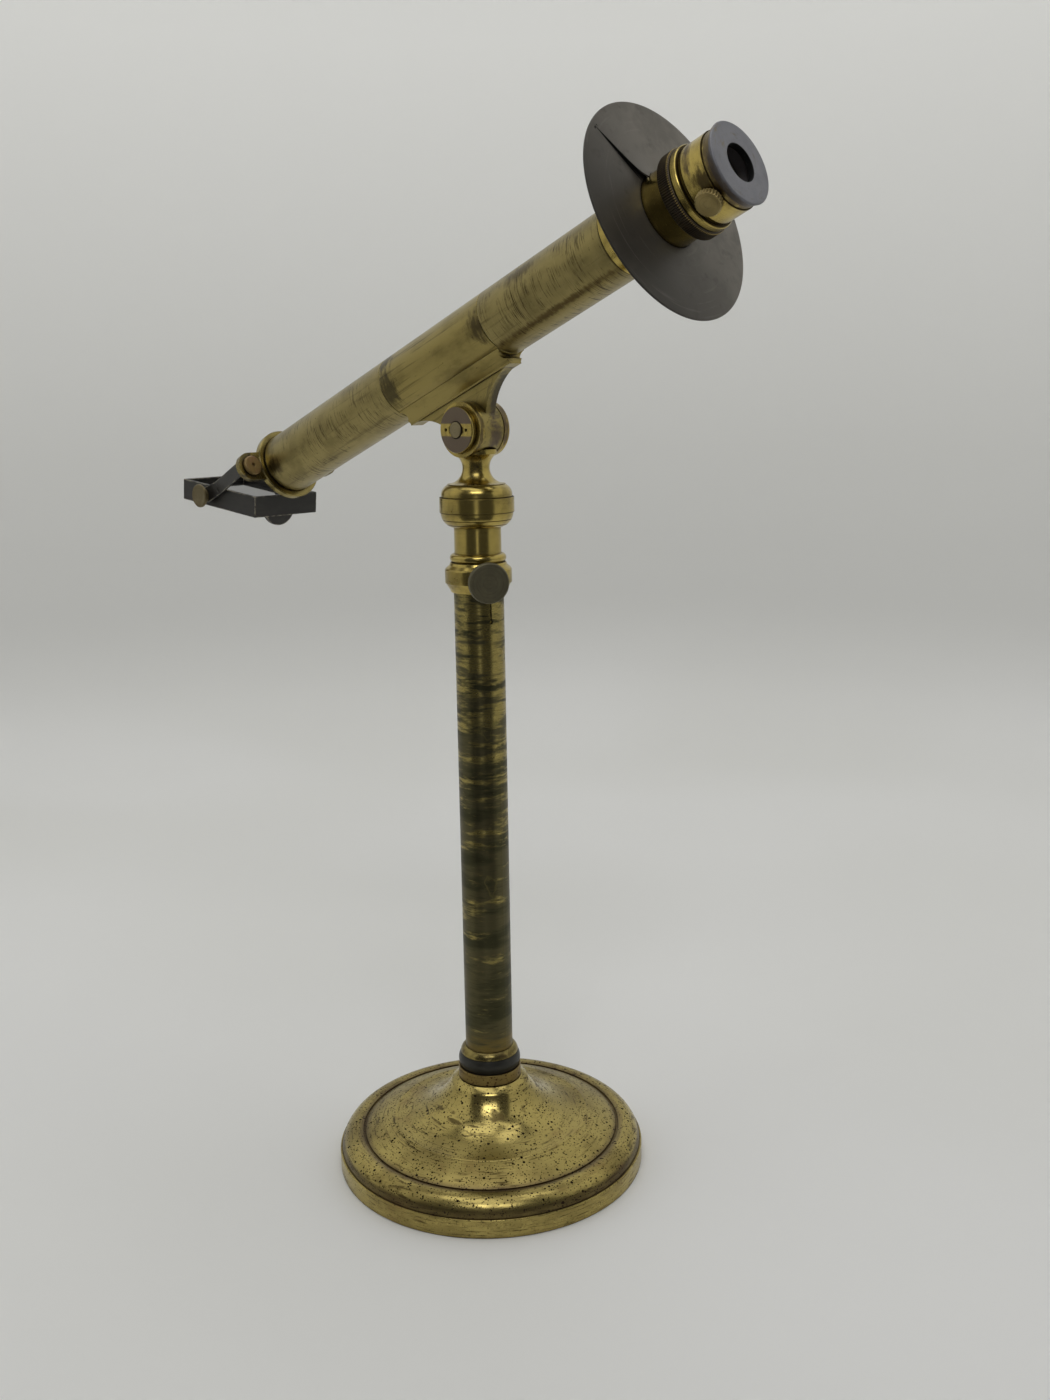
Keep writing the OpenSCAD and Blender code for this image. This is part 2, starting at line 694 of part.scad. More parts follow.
// The shade is a sprung disc: a radial slit stops short of its rim,
// and one lip of the slit stands up at the hub
module eye_shade() {
    hub = tube_r + run_gap;
    rim = shade_d / 2;
    spokes = 72;
    rows = 8;
    end_row = 7;
    lip_sweep = 34;
    function radius(i) = i <= end_row ? hub + (slit_end_r - hub) * i / end_row : rim;
    function half_gap(i) = i < end_row ? slit_hub_w / 2 * (1 - 0.8 * i / end_row) / radius(i) * 180 / PI : 0;
    function turn(i, j) = half_gap(i) + (360 - 2 * half_gap(i)) * j / spokes;
    function lift(r, angle) =
        lip_lift * pow(max(0, 1 - angle / lip_sweep), 1.5) * max(0, slit_end_r - r) / (slit_end_r - hub);
    // The first and last spokes are one beyond the end of the slit
    function spoke(i, j) = i >= end_row && j == spokes ? 0 : j;
    function at(side, i, j) = (side * (rows + 1) + i) * (spokes + 1) + spoke(i, j);
    function quad(a, b, c, d) = [[a, b, c], [a, c, d]];
    points = [for (side = [0, 1]) for (i = [0:rows]) for (j = [0:spokes]) [
        radius(i) * cos(turn(i, j)), radius(i) * sin(turn(i, j)),
        side * shade_t + lift(radius(i), 360 - turn(i, j))
    ]];
    faces = [
        for (i = [0:rows - 1]) for (j = [0:spokes - 1]) each concat(
            quad(at(1, i + 1, j), at(1, i + 1, j + 1), at(1, i, j + 1), at(1, i, j)),
            quad(at(0, i, j), at(0, i, j + 1), at(0, i + 1, j + 1), at(0, i + 1, j))
        ),
        for (j = [0:spokes - 1]) each concat(
            quad(at(1, 0, j), at(1, 0, j + 1), at(0, 0, j + 1), at(0, 0, j)),
            quad(at(0, rows, j), at(0, rows, j + 1), at(1, rows, j + 1), at(1, rows, j))
        ),
        for (i = [0:end_row - 1]) each concat(
            quad(at(0, i, 0), at(0, i + 1, 0), at(1, i + 1, 0), at(1, i, 0)),
            quad(at(1, i, spokes), at(1, i + 1, spokes), at(0, i + 1, spokes), at(0, i, spokes))
        )
    ];
    color(blackened) on_tube() translate([0, 0, collar_end]) rotate([0, 0, 180 + slit_bearing])
        polyhedron(points, faces);
}

module eyepiece_sleeve() color(polished_brass) on_tube() turned([
    [turn_r + run_gap, upper_end], [sleeve_spigot_r, upper_end], [sleeve_spigot_r, collar_end],
    [tube_r, collar_end], [tube_r, eye_sleeve_end], [turn_r + run_gap, eye_sleeve_end]
]);

// Polariser

module end_ring() color(polished_brass) on_tube() difference() {
    union() {
        turned([
            [ring_bore_r, ring_back], [ring_d / 2 - bevel, ring_back], [ring_d / 2, ring_back + bevel],
            [ring_d / 2, ring_front - 2 * bevel], [ring_d / 2 - bevel, ring_front - bevel],
            [tube_r - bevel, ring_front - bevel], [tube_r - 2 * bevel, ring_front],
            [tube_bore_r - run_gap, ring_front], [tube_bore_r - run_gap, ring_front + spigot_len],
            [ring_bore_r, ring_front + spigot_len]
        ]);
        // Lugs for the arms
        for (side = [-1, 1]) difference() {
            translate([0, 0, ring_back]) linear_extrude(lug_front - ring_back) {
                translate([0, side * lug_y]) circle(r = lug_r);
                translate([-lug_r, side < 0 ? -lug_y : 0]) square([2 * lug_r, lug_y]);
            }
            translate([0, 0, ring_back - cut]) cylinder(h = ring_t + 2 * cut, r = tube_r);
        }
    }
    for (side = [-1, 1]) translate([0, side * lug_y, ring_back - cut])
        cylinder(h = ring_t + 2 * cut, r = arm_screw_r + seat_gap);
}

// A bent strap: a foot behind the lug, a slanting stretch and a straight end beside the tray
module arm(side) color(black_paint) on_tube() difference() {
    end_s = pivot_s - arm_w;
    intersection() {
        // Plan of the strap, seen from above the tube
        rotate([0, -90, 0]) linear_extrude(4 * arm_w, center = true) polygon([
            [ring_back, side * arm_foot_in], [ring_back, side * arm_bend_y], [arm_slant_s, side * arm_out],
            [end_s, side * arm_out], [end_s, side * arm_in], [arm_slant_s, side * arm_in],
            [ring_back - arm_t, side * (arm_bend_y - arm_t)], [ring_back - arm_t, side * arm_foot_in]
        ]);
        // Side outline, turned so that it runs from the lug to the pivot
        translate([0, 0, ring_back]) rotate([90, 0, 0]) linear_extrude(4 * lug_y, center = true)
            rotate(-arm_turn) {
                translate([-arm_w / 2, -arm_run]) square([arm_w, arm_run + cut]);
                translate([0, -arm_run]) circle(r = arm_w / 2 + bevel);
            }
    }
    translate([0, side * lug_y, ring_back - 2 * arm_t]) cylinder(h = 4 * arm_t, r = arm_screw_r + seat_gap);
    translate([-pivot_lift, 0, pivot_s]) rotate([90, 0, 0])
        cylinder(h = 4 * lug_y, r = pivot_r + run_gap, center = true);
}

module near_arm() arm(-1);

module far_arm() arm(1);

module arm_screws() color(polished_brass) on_tube() for (side = [-1, 1])
    translate([0, side * lug_y, 0]) difference() {
        round_head(ring_back - arm_t - bevel, arm_screw_r, lug_front, arm_screw_d / 2, arm_screw_head);
        // Dimple in the head
        translate([0, 0, lug_front + arm_screw_head / 2]) cylinder(h = arm_screw_head, r = arm_screw_r / 2);
    }

// Mirror

module tray_block(z0, z1, inset) translate([tray_back + inset, inset - tray_w / 2, z0])
    cube([tray_len - 2 * inset, tray_w - 2 * inset, z1 - z0]);

module mirror_frame() color(black_paint) on_mirror() difference() {
    union() {
        tray_block(-tray_top, tray_top, 0);
        // Half-round tab below the end wall
        translate([tray_front - tray_wall, -tab_offset, 0]) rotate([90, 0, 90]) linear_extrude(tray_wall)
            intersection() {
                translate([0, tab_r - tab_drop - tray_top]) circle(r = tab_r);
                translate([-tab_r, -tray_h]) square([2 * tab_r, tray_h]);
            }
    }
    tray_block(tray_floor - tray_top, tray_top + cut, tray_wall);
    rotate([90, 0, 0]) cylinder(h = 2 * tray_w, r = pivot_r + run_gap, center = true);
}

module mirror_bed() color(cork) on_mirror()
    tray_block(tray_floor - tray_top, tray_top - glass_recess - glass_t, tray_wall + glass_gap);

module mirror_glass() color(black_glass) on_mirror()
    tray_block(tray_top - glass_recess - glass_t, tray_top - glass_recess, tray_wall + glass_gap);

module far_pivot_screw() color(dull_brass) on_mirror() rotate([-90, 0, 0])
    round_head(pivot_tip, pivot_r, pivot_seat, pivot_collar_r, arm_screw_head);

module mirror_thumbscrew() color(polished_brass) on_mirror() rotate([90, 0, 0]) {
    round_head(pivot_tip, pivot_r, mirror_knob_seat, mirror_knob_d / 2, mirror_knob_t);
    translate([0, 0, pivot_seat]) cylinder(h = mirror_knob_seat - pivot_seat, r = pivot_collar_r);
}

// Analyser

module milled_ring() color(dull_brass) on_tube() turned([
    [milled_seat_r + seat_gap, milled_start], [milled_d / 2 - bevel, milled_start],
    [milled_d / 2, milled_start + bevel], [milled_d / 2, flange_start - bevel],
    [milled_d / 2 - bevel, flange_start], [milled_seat_r + seat_gap, flange_start]
]);

module analyser_body() color(polished_brass) difference() {
    on_tube() turned([
        [turn_bore_r, turn_start], [turn_r, turn_start], [turn_r, milled_start],
        [milled_seat_r, milled_start], [milled_seat_r, flange_start], [flange_d / 2 - bevel, flange_start],
        [flange_d / 2, flange_start + bevel], [flange_d / 2, groove_start - bevel],
        [flange_d / 2 - bevel, groove_start], [barrel_r - bevel, groove_start],
        [barrel_r - bevel, barrel_start], [barrel_r, barrel_start + bevel], [barrel_r, barrel_end - step_ring],
        [barrel_r - bevel, barrel_end - step_ring], [barrel_r - bevel, barrel_end],
        [cap_spigot_r + seat_gap, barrel_end], [cap_spigot_r + seat_gap, cap_seat], [turn_bore_r, cap_seat]
    ]);
    on_side_screw() cylinder(h = barrel_d, r = side_thread_r + run_gap);
}

module analyser_screw() color(dull_brass) on_side_screw() round_head(
    cap_spigot_r + bevel, side_thread_r, side_knob_seat, side_knob_d / 2, side_knob_reach - side_knob_seat
);

module eye_cap() color(blackened) on_tube() turned([
    [sight_d / 2, barrel_end + 2 * bevel], [cap_spigot_r - step_ring, barrel_end + bevel],
    [cap_spigot_r - step_ring, cap_seat], [cap_spigot_r, cap_seat], [cap_spigot_r, barrel_end],
    [barrel_r - bevel, barrel_end], [eye_cap_d / 2, cap_face - bevel], [eye_cap_d / 2 - bevel, cap_face],
    [sight_d / 2 + bevel, cap_face], [sight_d / 2, cap_face - bevel]
]);

module prism_cork() color(cork) on_tube() difference() {
    translate([0, 0, cork_start]) cylinder(h = cork_end - cork_start, r = turn_bore_r - seat_gap);
    translate([0, 0, cork_start - cut]) linear_extrude(cork_end - cork_start + 2 * cut)
        square(prism_side + 2 * seat_gap, center = true);
}

// The prism is cut corner to corner along its length, with a film of cement in the cut
module nicol_half(points) color(calcite) on_tube() translate([0, 0, cork_start + cork_margin])
    rotate([90, 0, 0]) linear_extrude(prism_side, center = true) polygon(points);

module nicol_front() nicol_half([
    [-prism_side / 2, cement * prism_len / prism_side], [prism_side / 2 - cement, prism_len],
    [-prism_side / 2, prism_len]
]);

module nicol_back() nicol_half([
    [cement - prism_side / 2, 0], [prism_side / 2, 0],
    [prism_side / 2, prism_len - cement * prism_len / prism_side]
]);

foot();
foot_washer();
foot_nut();
pillar_bead();
pillar_socket();
pillar_tube();
clamp_collar();
pillar_lip();
clamp_screw();
riser_tube();
riser_bulb();
joint_fork();
swivel_nut();
hinge_pin();
hinge_nut();
tube_saddle();
centre_sleeve();
lower_tube();
upper_tube();
lower_coupling();
upper_coupling();
field_stops();
end_collar();
eye_shade();
eyepiece_sleeve();
end_ring();
near_arm();
far_arm();
arm_screws();
mirror_frame();
mirror_bed();
mirror_glass();
far_pivot_screw();
mirror_thumbscrew();
milled_ring();
analyser_body();
analyser_screw();
eye_cap();
prism_cork();
nicol_front();
nicol_back();
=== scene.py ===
"""Looks of a brass table polariscope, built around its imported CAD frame."""

import json
import math

import bmesh
import bpy
from bpy.props import FloatProperty, FloatVectorProperty, IntProperty, PointerProperty
from mathutils import Matrix, Vector


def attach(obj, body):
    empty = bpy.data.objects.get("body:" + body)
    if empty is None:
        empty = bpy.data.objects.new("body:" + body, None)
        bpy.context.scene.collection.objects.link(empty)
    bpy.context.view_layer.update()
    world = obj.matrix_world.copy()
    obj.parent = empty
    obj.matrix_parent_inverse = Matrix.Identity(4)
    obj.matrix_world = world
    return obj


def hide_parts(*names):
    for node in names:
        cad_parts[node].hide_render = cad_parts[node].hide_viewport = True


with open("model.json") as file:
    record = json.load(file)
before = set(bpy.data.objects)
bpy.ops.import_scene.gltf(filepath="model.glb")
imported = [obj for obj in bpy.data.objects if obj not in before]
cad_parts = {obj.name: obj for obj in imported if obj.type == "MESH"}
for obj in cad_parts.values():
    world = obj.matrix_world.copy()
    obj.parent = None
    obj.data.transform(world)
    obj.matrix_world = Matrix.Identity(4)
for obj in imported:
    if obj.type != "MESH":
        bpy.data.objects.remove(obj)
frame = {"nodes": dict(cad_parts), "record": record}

bl_info = {
    "name": "Polariscope",
    "version": (1, 0, 0),
    "blender": (4, 5, 0),
    "location": "View3D > Sidebar > Polariscope",
    "description": "Builds the visible pieces, finishes and studio of a brass table polariscope",
    "category": "Object",
}

# Lengths in the build are millimetres; meshes are metres.
MM = 0.001
BODIES = {node: body for body, nodes in frame["record"]["behaviour"]["bodies"].items() for node in nodes}

# Edges that bend more than a crease are shaded sharp, and those that bend more than a corner can be bevelled.
CREASE = math.radians(50)
CORNER = math.radians(60)
# A rounded corner of a profile takes at most this share of each side, in this many steps.
ROUND_SHARE = 0.45
ROUND_STEPS = 3
# Vertices nearer than this are one.
WELD = 1e-4
# Sides of a turned mesh for each milled tooth.
TOOTH_SIDES = 6


def placed(origin, turns):
    """A frame at a point, turned about the named axes one after the other."""
    place = Matrix.Translation(origin)
    for degrees, axis in turns:
        place = place @ Matrix.Rotation(math.radians(degrees), 4, axis)
    return place


# Places in the frame, in degrees and millimetres.
TILT = 22.8
HINGE_Z = 302.3
TUBE_RISE = 30
SHADE_SEAT = 110.3
UPRIGHT = Matrix.Identity(4)
# Z runs along the tube to the eye, and -X is its upper side.
TUBE = placed((0, 0, HINGE_Z), [(90 - TILT, "Y")]) @ Matrix.Translation((-TUBE_RISE, 0, 0))
# Z points to the near side.
PIN = placed((0, 0, HINGE_Z), [(90, "X")])
# Z points outwards along the screw.
CLAMP = placed((0, 0, 246.2), [(-35, "Z"), (90, "Y")])
SIDE_SCREW = TUBE @ placed((0, 0, 133.35), [(311, "Z"), (90, "Y")])
# X runs along the slit of the shade.
SLIT = TUBE @ placed((0, 0, SHADE_SEAT), [(222, "Z")])
# X runs along the tray to the eye end, and Z points out of the glass.
MIRROR = placed((-152.184, 0, 272.605), [(6.6, "Y")])


# Settings

LENGTH = {"min": 0.0, "unit": "LENGTH", "precision": 5}
COLOUR = {"size": 3, "subtype": "COLOR", "min": 0.0, "max": 1.0}


class PolariscopeSizes(bpy.types.PropertyGroup):
    """Sizes of the fine work that the frame leaves plain."""

    edge_round: FloatProperty(
        name="Edge rounding", description="Radius of the worn edges of turned pieces",
        default=0.00025, **LENGTH)
    turned_steps: IntProperty(
        name="Turned steps", description="Sides of a full turn", default=160, min=24)
    ring_teeth: IntProperty(
        name="Milled ring teeth", description="Teeth round the milled ring", default=118, min=12)
    ring_tooth: FloatProperty(
        name="Milled ring depth", description="Depth of the milled ring's teeth", default=0.0003, **LENGTH)
    knob_teeth: IntProperty(
        name="Clamp screw teeth", description="Teeth round the clamp screw's head", default=64, min=12)
    knob_tooth: FloatProperty(
        name="Clamp screw depth", description="Depth of the clamp screw's teeth", default=0.0003, **LENGTH)
    side_teeth: IntProperty(
        name="Side screw teeth", description="Teeth round the side screw's head", default=26, min=8)
    side_tooth: FloatProperty(
        name="Side screw depth", description="Depth of the side screw's teeth", default=0.00045, **LENGTH)


class PolariscopeFinish(bpy.types.PropertyGroup):
    """Colours and strengths of the finishes."""

    brass: FloatVectorProperty(
        name="Polished brass", description="Colour of clean polished brass",
        default=(0.50, 0.385, 0.11), **COLOUR)
    foot_brass: FloatVectorProperty(
        name="Foot brass", description="Colour of the aged brass of the foot",
        default=(0.475, 0.38, 0.127), **COLOUR)
    pillar: FloatVectorProperty(
        name="Pillar brass", description="Colour of the handled brass of the pillar",
        default=(0.34, 0.275, 0.092), **COLOUR)
    lacquer: FloatVectorProperty(
        name="Pale lacquer", description="Colour of the lacquered tubes",
        default=(0.31, 0.25, 0.092), **COLOUR)
    sleeve: FloatVectorProperty(
        name="Brown lacquer", description="Colour of the centre sleeve and saddle",
        default=(0.31, 0.245, 0.078), **COLOUR)
    tarnish: FloatVectorProperty(
        name="Tarnish", description="Colour of brown tarnish", default=(0.085, 0.062, 0.030), **COLOUR)
    pits: FloatProperty(
        name="Pits", description="Share of the foot's surface cells that carry a pit",
        default=0.8, min=0.0, max=1.0, subtype="FACTOR")


class PolariscopeStage(bpy.types.PropertyGroup):
    """Camera and light of the studio."""

    camera: FloatVectorProperty(
        name="Camera", description="Place of the camera",
        default=(0.38444, -0.38807, 0.31784), size=3, subtype="TRANSLATION", unit="LENGTH")
    azimuth: FloatProperty(
        name="Azimuth", description="Bearing of the view to the left of the Y axis",
        default=math.radians(42.92), subtype="ANGLE")
    pitch: FloatProperty(
        name="Pitch", description="Angle of the view below the horizon",
        default=math.radians(12.51), subtype="ANGLE")
    roll: FloatProperty(
        name="Roll", description="Turn of the camera about its view", default=-0.0162, subtype="ANGLE")
    lens: FloatProperty(
        name="Lens", description="Focal length for a 36 mm sensor, in millimetres", default=36.337)
    key_power: FloatProperty(
        name="Key light", description="Power of the soft light above the camera", default=3.7, unit="POWER")
    top_power: FloatProperty(
        name="Top light", description="Power of the overhead soft light", default=6.6, unit="POWER")
    strip_power: FloatProperty(
        name="Strip light", description="Power of the narrow light behind the camera",
        default=0.5, unit="POWER")
    tent_glow: FloatProperty(
        name="Tent glow", description="Brightness of the lit paper at the top of the picture", default=0.25)


# Geometry

def arc(centre, radius, start, end, steps):
    """Points of an arc in the half profile, angles in degrees."""
    turns = [math.radians(start + (end - start) * i / steps) for i in range(steps + 1)]
    return [(centre[0] + radius * math.cos(t), centre[1] + radius * math.sin(t)) for t in turns]


def eased(points, closed):
    """A profile whose corners with a third value are rounded to that radius."""
    out = []
    count = len(points)
    for i, point in enumerate(points):
        here = Vector(point[:2])
        ends = not closed and i in (0, count - 1)
        if len(point) == 2 or ends or point[2] <= 0:
            out.append(here)
            continue
        back = Vector(points[i - 1][:2]) - here
        on = Vector(points[(i + 1) % count][:2]) - here
        half = back.angle(on) / 2
        reach = min(point[2] / math.tan(half), ROUND_SHARE * back.length, ROUND_SHARE * on.length)
        radius = reach * math.tan(half)
        centre = here + (back.normalized() + on.normalized()).normalized() * radius / math.sin(half)
        first = here + back.normalized() * reach - centre
        last = here + on.normalized() * reach - centre
        sweep = first.angle_signed(last)
        for step in range(ROUND_STEPS + 1):
            out.append(centre + Matrix.Rotation(-sweep * step / ROUND_STEPS, 2) @ first)
    return out


def spun(points, steps, closed=True):
    """A mesh turned about Z from a half profile of (radius, height) points."""
    bm = bmesh.new()
    outline = [bm.verts.new((p.x, 0, p.y)) for p in eased(points, closed)]
    pairs = list(zip(outline, outline[1:])) + ([(outline[-1], outline[0])] if closed else [])
    edges = [bm.edges.new(pair) for pair in pairs]
    bmesh.ops.spin(
        bm, geom=outline + edges, cent=(0, 0, 0), axis=(0, 0, 1), angle=2 * math.pi,
        steps=steps, use_merge=True, use_duplicate=False)
    return bm


def milled(points, radius, depth, teeth, sides, closed=True):
    """A turned mesh with straight teeth cut into its rim."""
    bm = spun(points, teeth * sides, closed)
    for vert in bm.verts:
        reach = math.hypot(vert.co.x, vert.co.y)
        tooth = radius - depth * (0.5 + 0.5 * math.cos(teeth * math.atan2(vert.co.y, vert.co.x)))
        if reach > tooth:
            vert.co.xy *= tooth / reach
    return bm


def whole(bm):
    """All parts of a mesh."""
    return bm.verts[:] + bm.edges[:] + bm.faces[:]


def vertices(geom):
    """The vertices among the parts of a mesh."""
    return [part for part in geom if isinstance(part, bmesh.types.BMVert)]


def raised(bm, geom, vec):
    """Extrudes faces along a vector and gives the new vertices; faces given with their edges don't stay."""
    top = vertices(bmesh.ops.extrude_face_region(bm, geom=geom)["geom"])
    bmesh.ops.translate(bm, verts=top, vec=vec)
    return top


def softened(bm, offset, among=()):
    """Bevels the corners of a mesh, or only those between some of its vertices."""
    edges = [e for e in bm.edges if e.is_manifold and e.calc_face_angle(0) > CORNER]
    if among:
        edges = [e for e in edges if all(vert in among for vert in e.verts)]
    bmesh.ops.bevel(
        bm, geom=edges, offset=offset, offset_type="OFFSET", segments=2, profile=0.5, affect="EDGES",
        material=-1)


def linked(context, name, data):
    """A new object in the scene."""
    thing = bpy.data.objects.new(name, data)
    context.scene.collection.objects.link(thing)
    return thing


def meshed(context, bm, name, material):
    """A new smooth object of a mesh, welded and turned outwards, with its material."""
    bmesh.ops.remove_doubles(bm, verts=bm.verts, dist=WELD)
    bmesh.ops.recalc_face_normals(bm, faces=bm.faces)
    for face in bm.faces:
        face.smooth = True
    for edge in bm.edges:
        edge.smooth = edge.calc_face_angle(0) < CREASE
    mesh = bpy.data.meshes.new(name)
    bm.to_mesh(mesh)
    bm.free()
    mesh.materials.append(material)
    return linked(context, name, mesh)


def made(context, bm, node, place, material):
    """Finishes a mesh in millimetres as the visible piece of a CAD node."""
    piece = meshed(context, bm, node + "_shown", material)
    piece.data.transform(Matrix.Scale(MM, 4) @ place)
    even = piece.modifiers.new("Even normals", "WEIGHTED_NORMAL")
    even.keep_sharp = True
    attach(piece, BODIES[node])
    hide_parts(node)


def finished(material, *nodes):
    """Gives CAD nodes a finish in place of their plain colour."""
    for node in nodes:
        mesh = frame["nodes"][node].data
        for i in range(len(mesh.materials)):
            mesh.materials[i] = material


# Finishes

def linear(colour):
    """Linear colour with alpha, of an sRGB hex code or of a settings colour, which is linear already."""
    if not isinstance(colour, str):
        return (*colour, 1.0)
    parts = [int(colour[i:i + 2], 16) / 255 for i in (1, 3, 5)]
    return tuple(p / 12.92 if p <= 0.04045 else ((p + 0.055) / 1.055) ** 2.4 for p in parts) + (1.0,)


class Nodes:
    """The emptied node tree of a material or a world."""

    def __init__(self, owner):
        owner.use_nodes = True
        self.tree = owner.node_tree
        self.tree.nodes.clear()

    def add(self, kind, inputs, **settings):
        """Adds a node, sets its options, feeds its inputs with sockets or values, and gives its outputs."""
        node = self.tree.nodes.new("ShaderNode" + kind)
        for name, value in settings.items():
            setattr(node, name, value)
        for key, value in inputs.items():
            if isinstance(value, bpy.types.NodeSocket):
                self.tree.links.new(value, node.inputs[key])
            else:
                node.inputs[key].default_value = value
        return node.outputs


class Surface(Nodes):
    """A material under way: masks lay colours and roughnesses over its first ones.

    Sizes are given in millimetres, and sockets carry metres.
    """

    def __init__(self, name, place, colour, roughness):
        self.material = bpy.data.materials.new(name)
        super().__init__(self.material)
        self.local = self.along(place)
        self.colour = linear(colour)
        self.roughness = roughness

    def along(self, place):
        """Coordinates in a frame."""
        spot = self.add("TexCoord", {})["Object"]
        origin = tuple(place.translation * MM)
        inputs = {"Vector": spot, "Location": origin, "Rotation": tuple(place.to_euler())}
        return self.add("Mapping", inputs, vector_type="TEXTURE")[0]

    def turned(self):
        """Distance from the axis of a turned piece, and place along it."""
        x, y, high = self.add("SeparateXYZ", {0: self.local})
        flat = self.add("CombineXYZ", {0: x, 1: y})[0]
        return self.add("VectorMath", {0: flat}, operation="LENGTH")["Value"], high

    def scaled(self, vector, sizes):
        """Coordinates for a pattern whose features have one size, or three."""
        if not isinstance(sizes, tuple):
            sizes = (sizes,) * 3
        scale = tuple(1 / (size * MM) for size in sizes)
        return self.add("VectorMath", {0: vector, 1: scale}, operation="MULTIPLY")[0]

    def lathe_lines(self, pitch, sweep):
        """Coordinates for marks that run round the axis: a line's pitch and its length."""
        radius, high = self.turned()
        walk = self.add("Math", {0: radius, 1: high}, operation="ADD")[0]
        x, y, _ = self.add("SeparateXYZ", {0: self.local})
        spread = self.add("CombineXYZ", {0: x, 1: y, 2: walk})[0]
        return self.scaled(spread, (sweep, sweep, pitch))

    def fading(self, value, start, end, top=1.0):
        """A mask that goes from 0 to its top value between two levels of a value."""
        levels = {"Value": value, "From Min": start, "From Max": end, "To Max": top}
        return self.add("MapRange", levels, interpolation_type="SMOOTHSTEP")[0]

    def patches(self, vector, low, high, top=1.0, detail=4.0):
        """Cloudy patches: 0 where a noise is below one level, and the top value above the other."""
        noise = self.add("TexNoise", {"Vector": vector, "Scale": 1.0, "Detail": detail, "Roughness": 0.6})
        return self.fading(noise[0], low, high, top)

    def band(self, value, middle, half, soft, top=1.0):
        """A mask of the values round a middle, with a half width and a soft edge."""
        off = self.add("Math", {0: value, 1: middle * MM}, operation="SUBTRACT")[0]
        away = self.add("Math", {0: off}, operation="ABSOLUTE")[0]
        return self.fading(away, (half + soft) * MM, half * MM, top)

    def spot(self, vector, centre, size):
        """Distance from a point in units of the half sizes of an ellipsoid."""
        middle = tuple(part * MM for part in centre)
        off = self.add("VectorMath", {0: vector, 1: middle}, operation="SUBTRACT")[0]
        return self.add("VectorMath", {0: self.scaled(off, size)}, operation="LENGTH")["Value"]

    def lay(self, mask, colour, roughness):
        """Lays a colour and a roughness over the look by a mask, and gives the mask."""
        tint = self.add("Mix", {0: mask, 6: self.colour, 7: linear(colour)}, data_type="RGBA")
        rough = self.add("Mix", {0: mask, 2: self.roughness, 3: roughness})
        self.colour = tint[2]
        self.roughness = rough[0]
        return mask

    def cloud(self, sizes, low, high, top, colour, roughness, detail=4.0):
        """Lays cloudy patches over the look, with features of the given sizes."""
        mask = self.patches(self.scaled(self.local, sizes), low, high, top, detail)
        return self.lay(mask, colour, roughness)

    def rings(self, pitch, sweep, low, high, top, colour, roughness, detail=3.0):
        """Lays broken lines round the axis over the look."""
        mask = self.patches(self.lathe_lines(pitch, sweep), low, high, top, detail)
        return self.lay(mask, colour, roughness)

    def stain(self, stains):
        """Lays stains with torn edges over the look: each a centre, half sizes and a colour."""
        if not stains:
            return
        torn = self.add("TexNoise", {
            "Vector": self.lathe_lines(1.6, 4.5), "Scale": 1.0, "Detail": 5.0, "Roughness": 0.65})[0]
        # How far the noise moves an edge, in units of the stain's half sizes
        tear = 2.6
        for centre, size, colour in stains:
            away = self.spot(self.local, centre, size)
            ragged = self.add("Math", {0: torn, 1: tear, 2: away}, operation="MULTIPLY_ADD")[0]
            self.lay(self.fading(ragged, tear, tear - 1, 0.85), colour, 0.42)

    def corner_shade(self, reach, colour, roughness, top=1.0):
        """Lays painted shade, a darker colour, in the corners and grooves within reach of other faces."""
        clear, deep = 0.80, 0.35
        shade = self.add("AmbientOcclusion", {"Distance": reach * MM}, samples=3)
        self.lay(self.fading(shade["AO"], clear, deep, top), colour, roughness)

    def done(self, height=None, depth=0.0, metallic=1.0, edge=0.0, **more):
        """The finished material: a bump of the given depth, worn edges, and more inputs of its shader."""
        look = {"Base Color": self.colour, "Roughness": self.roughness, "Metallic": metallic, **more}
        if height is not None:
            bump = {"Strength": 1.0, "Distance": depth * MM, "Height": height}
            if edge:
                bump["Normal"] = self.add("Bevel", {"Radius": edge * MM}, samples=3)[0]
            look["Normal"] = self.add("Bump", bump)[0]
        self.add("OutputMaterial", {"Surface": self.add("BsdfPrincipled", look)[0]})
        return self.material


def polished_brass(finish, name, place, stain=0.55, edge=0.0, colour=None, seams=(), stains=()):
    """Bright turned brass: crisp reflections, fine lathe lines, brown stains, dark seams, and grooves
    darkened by painted shade.
    """
    brass = Surface(name, place, finish.brass if colour is None else colour, 0.20)
    # Thin brown bloom in patches, broken up by the lathe lines
    brass.cloud(9, 0.42, 0.72, stain, finish.tarnish, 0.34)
    lines = brass.rings(0.22, 14, 0.35, 0.75, 0.16, finish.tarnish, 0.30)
    brass.stain(stains)
    # Small corroded specks
    brass.cloud(0.7, 0.70, 0.76, 0.8, "#241a12", 0.6, 2.0)
    # Old polish left in the seams, and painted shade in the grooves and corners
    for seam in seams:
        brass.lay(brass.band(brass.turned()[1], seam, 0.08, 0.16, 0.85), "#1f170e", 0.6)
    brass.corner_shade(1.6, "#2a2015", 0.6)
    return brass.done(lines, 0.025, edge=edge)


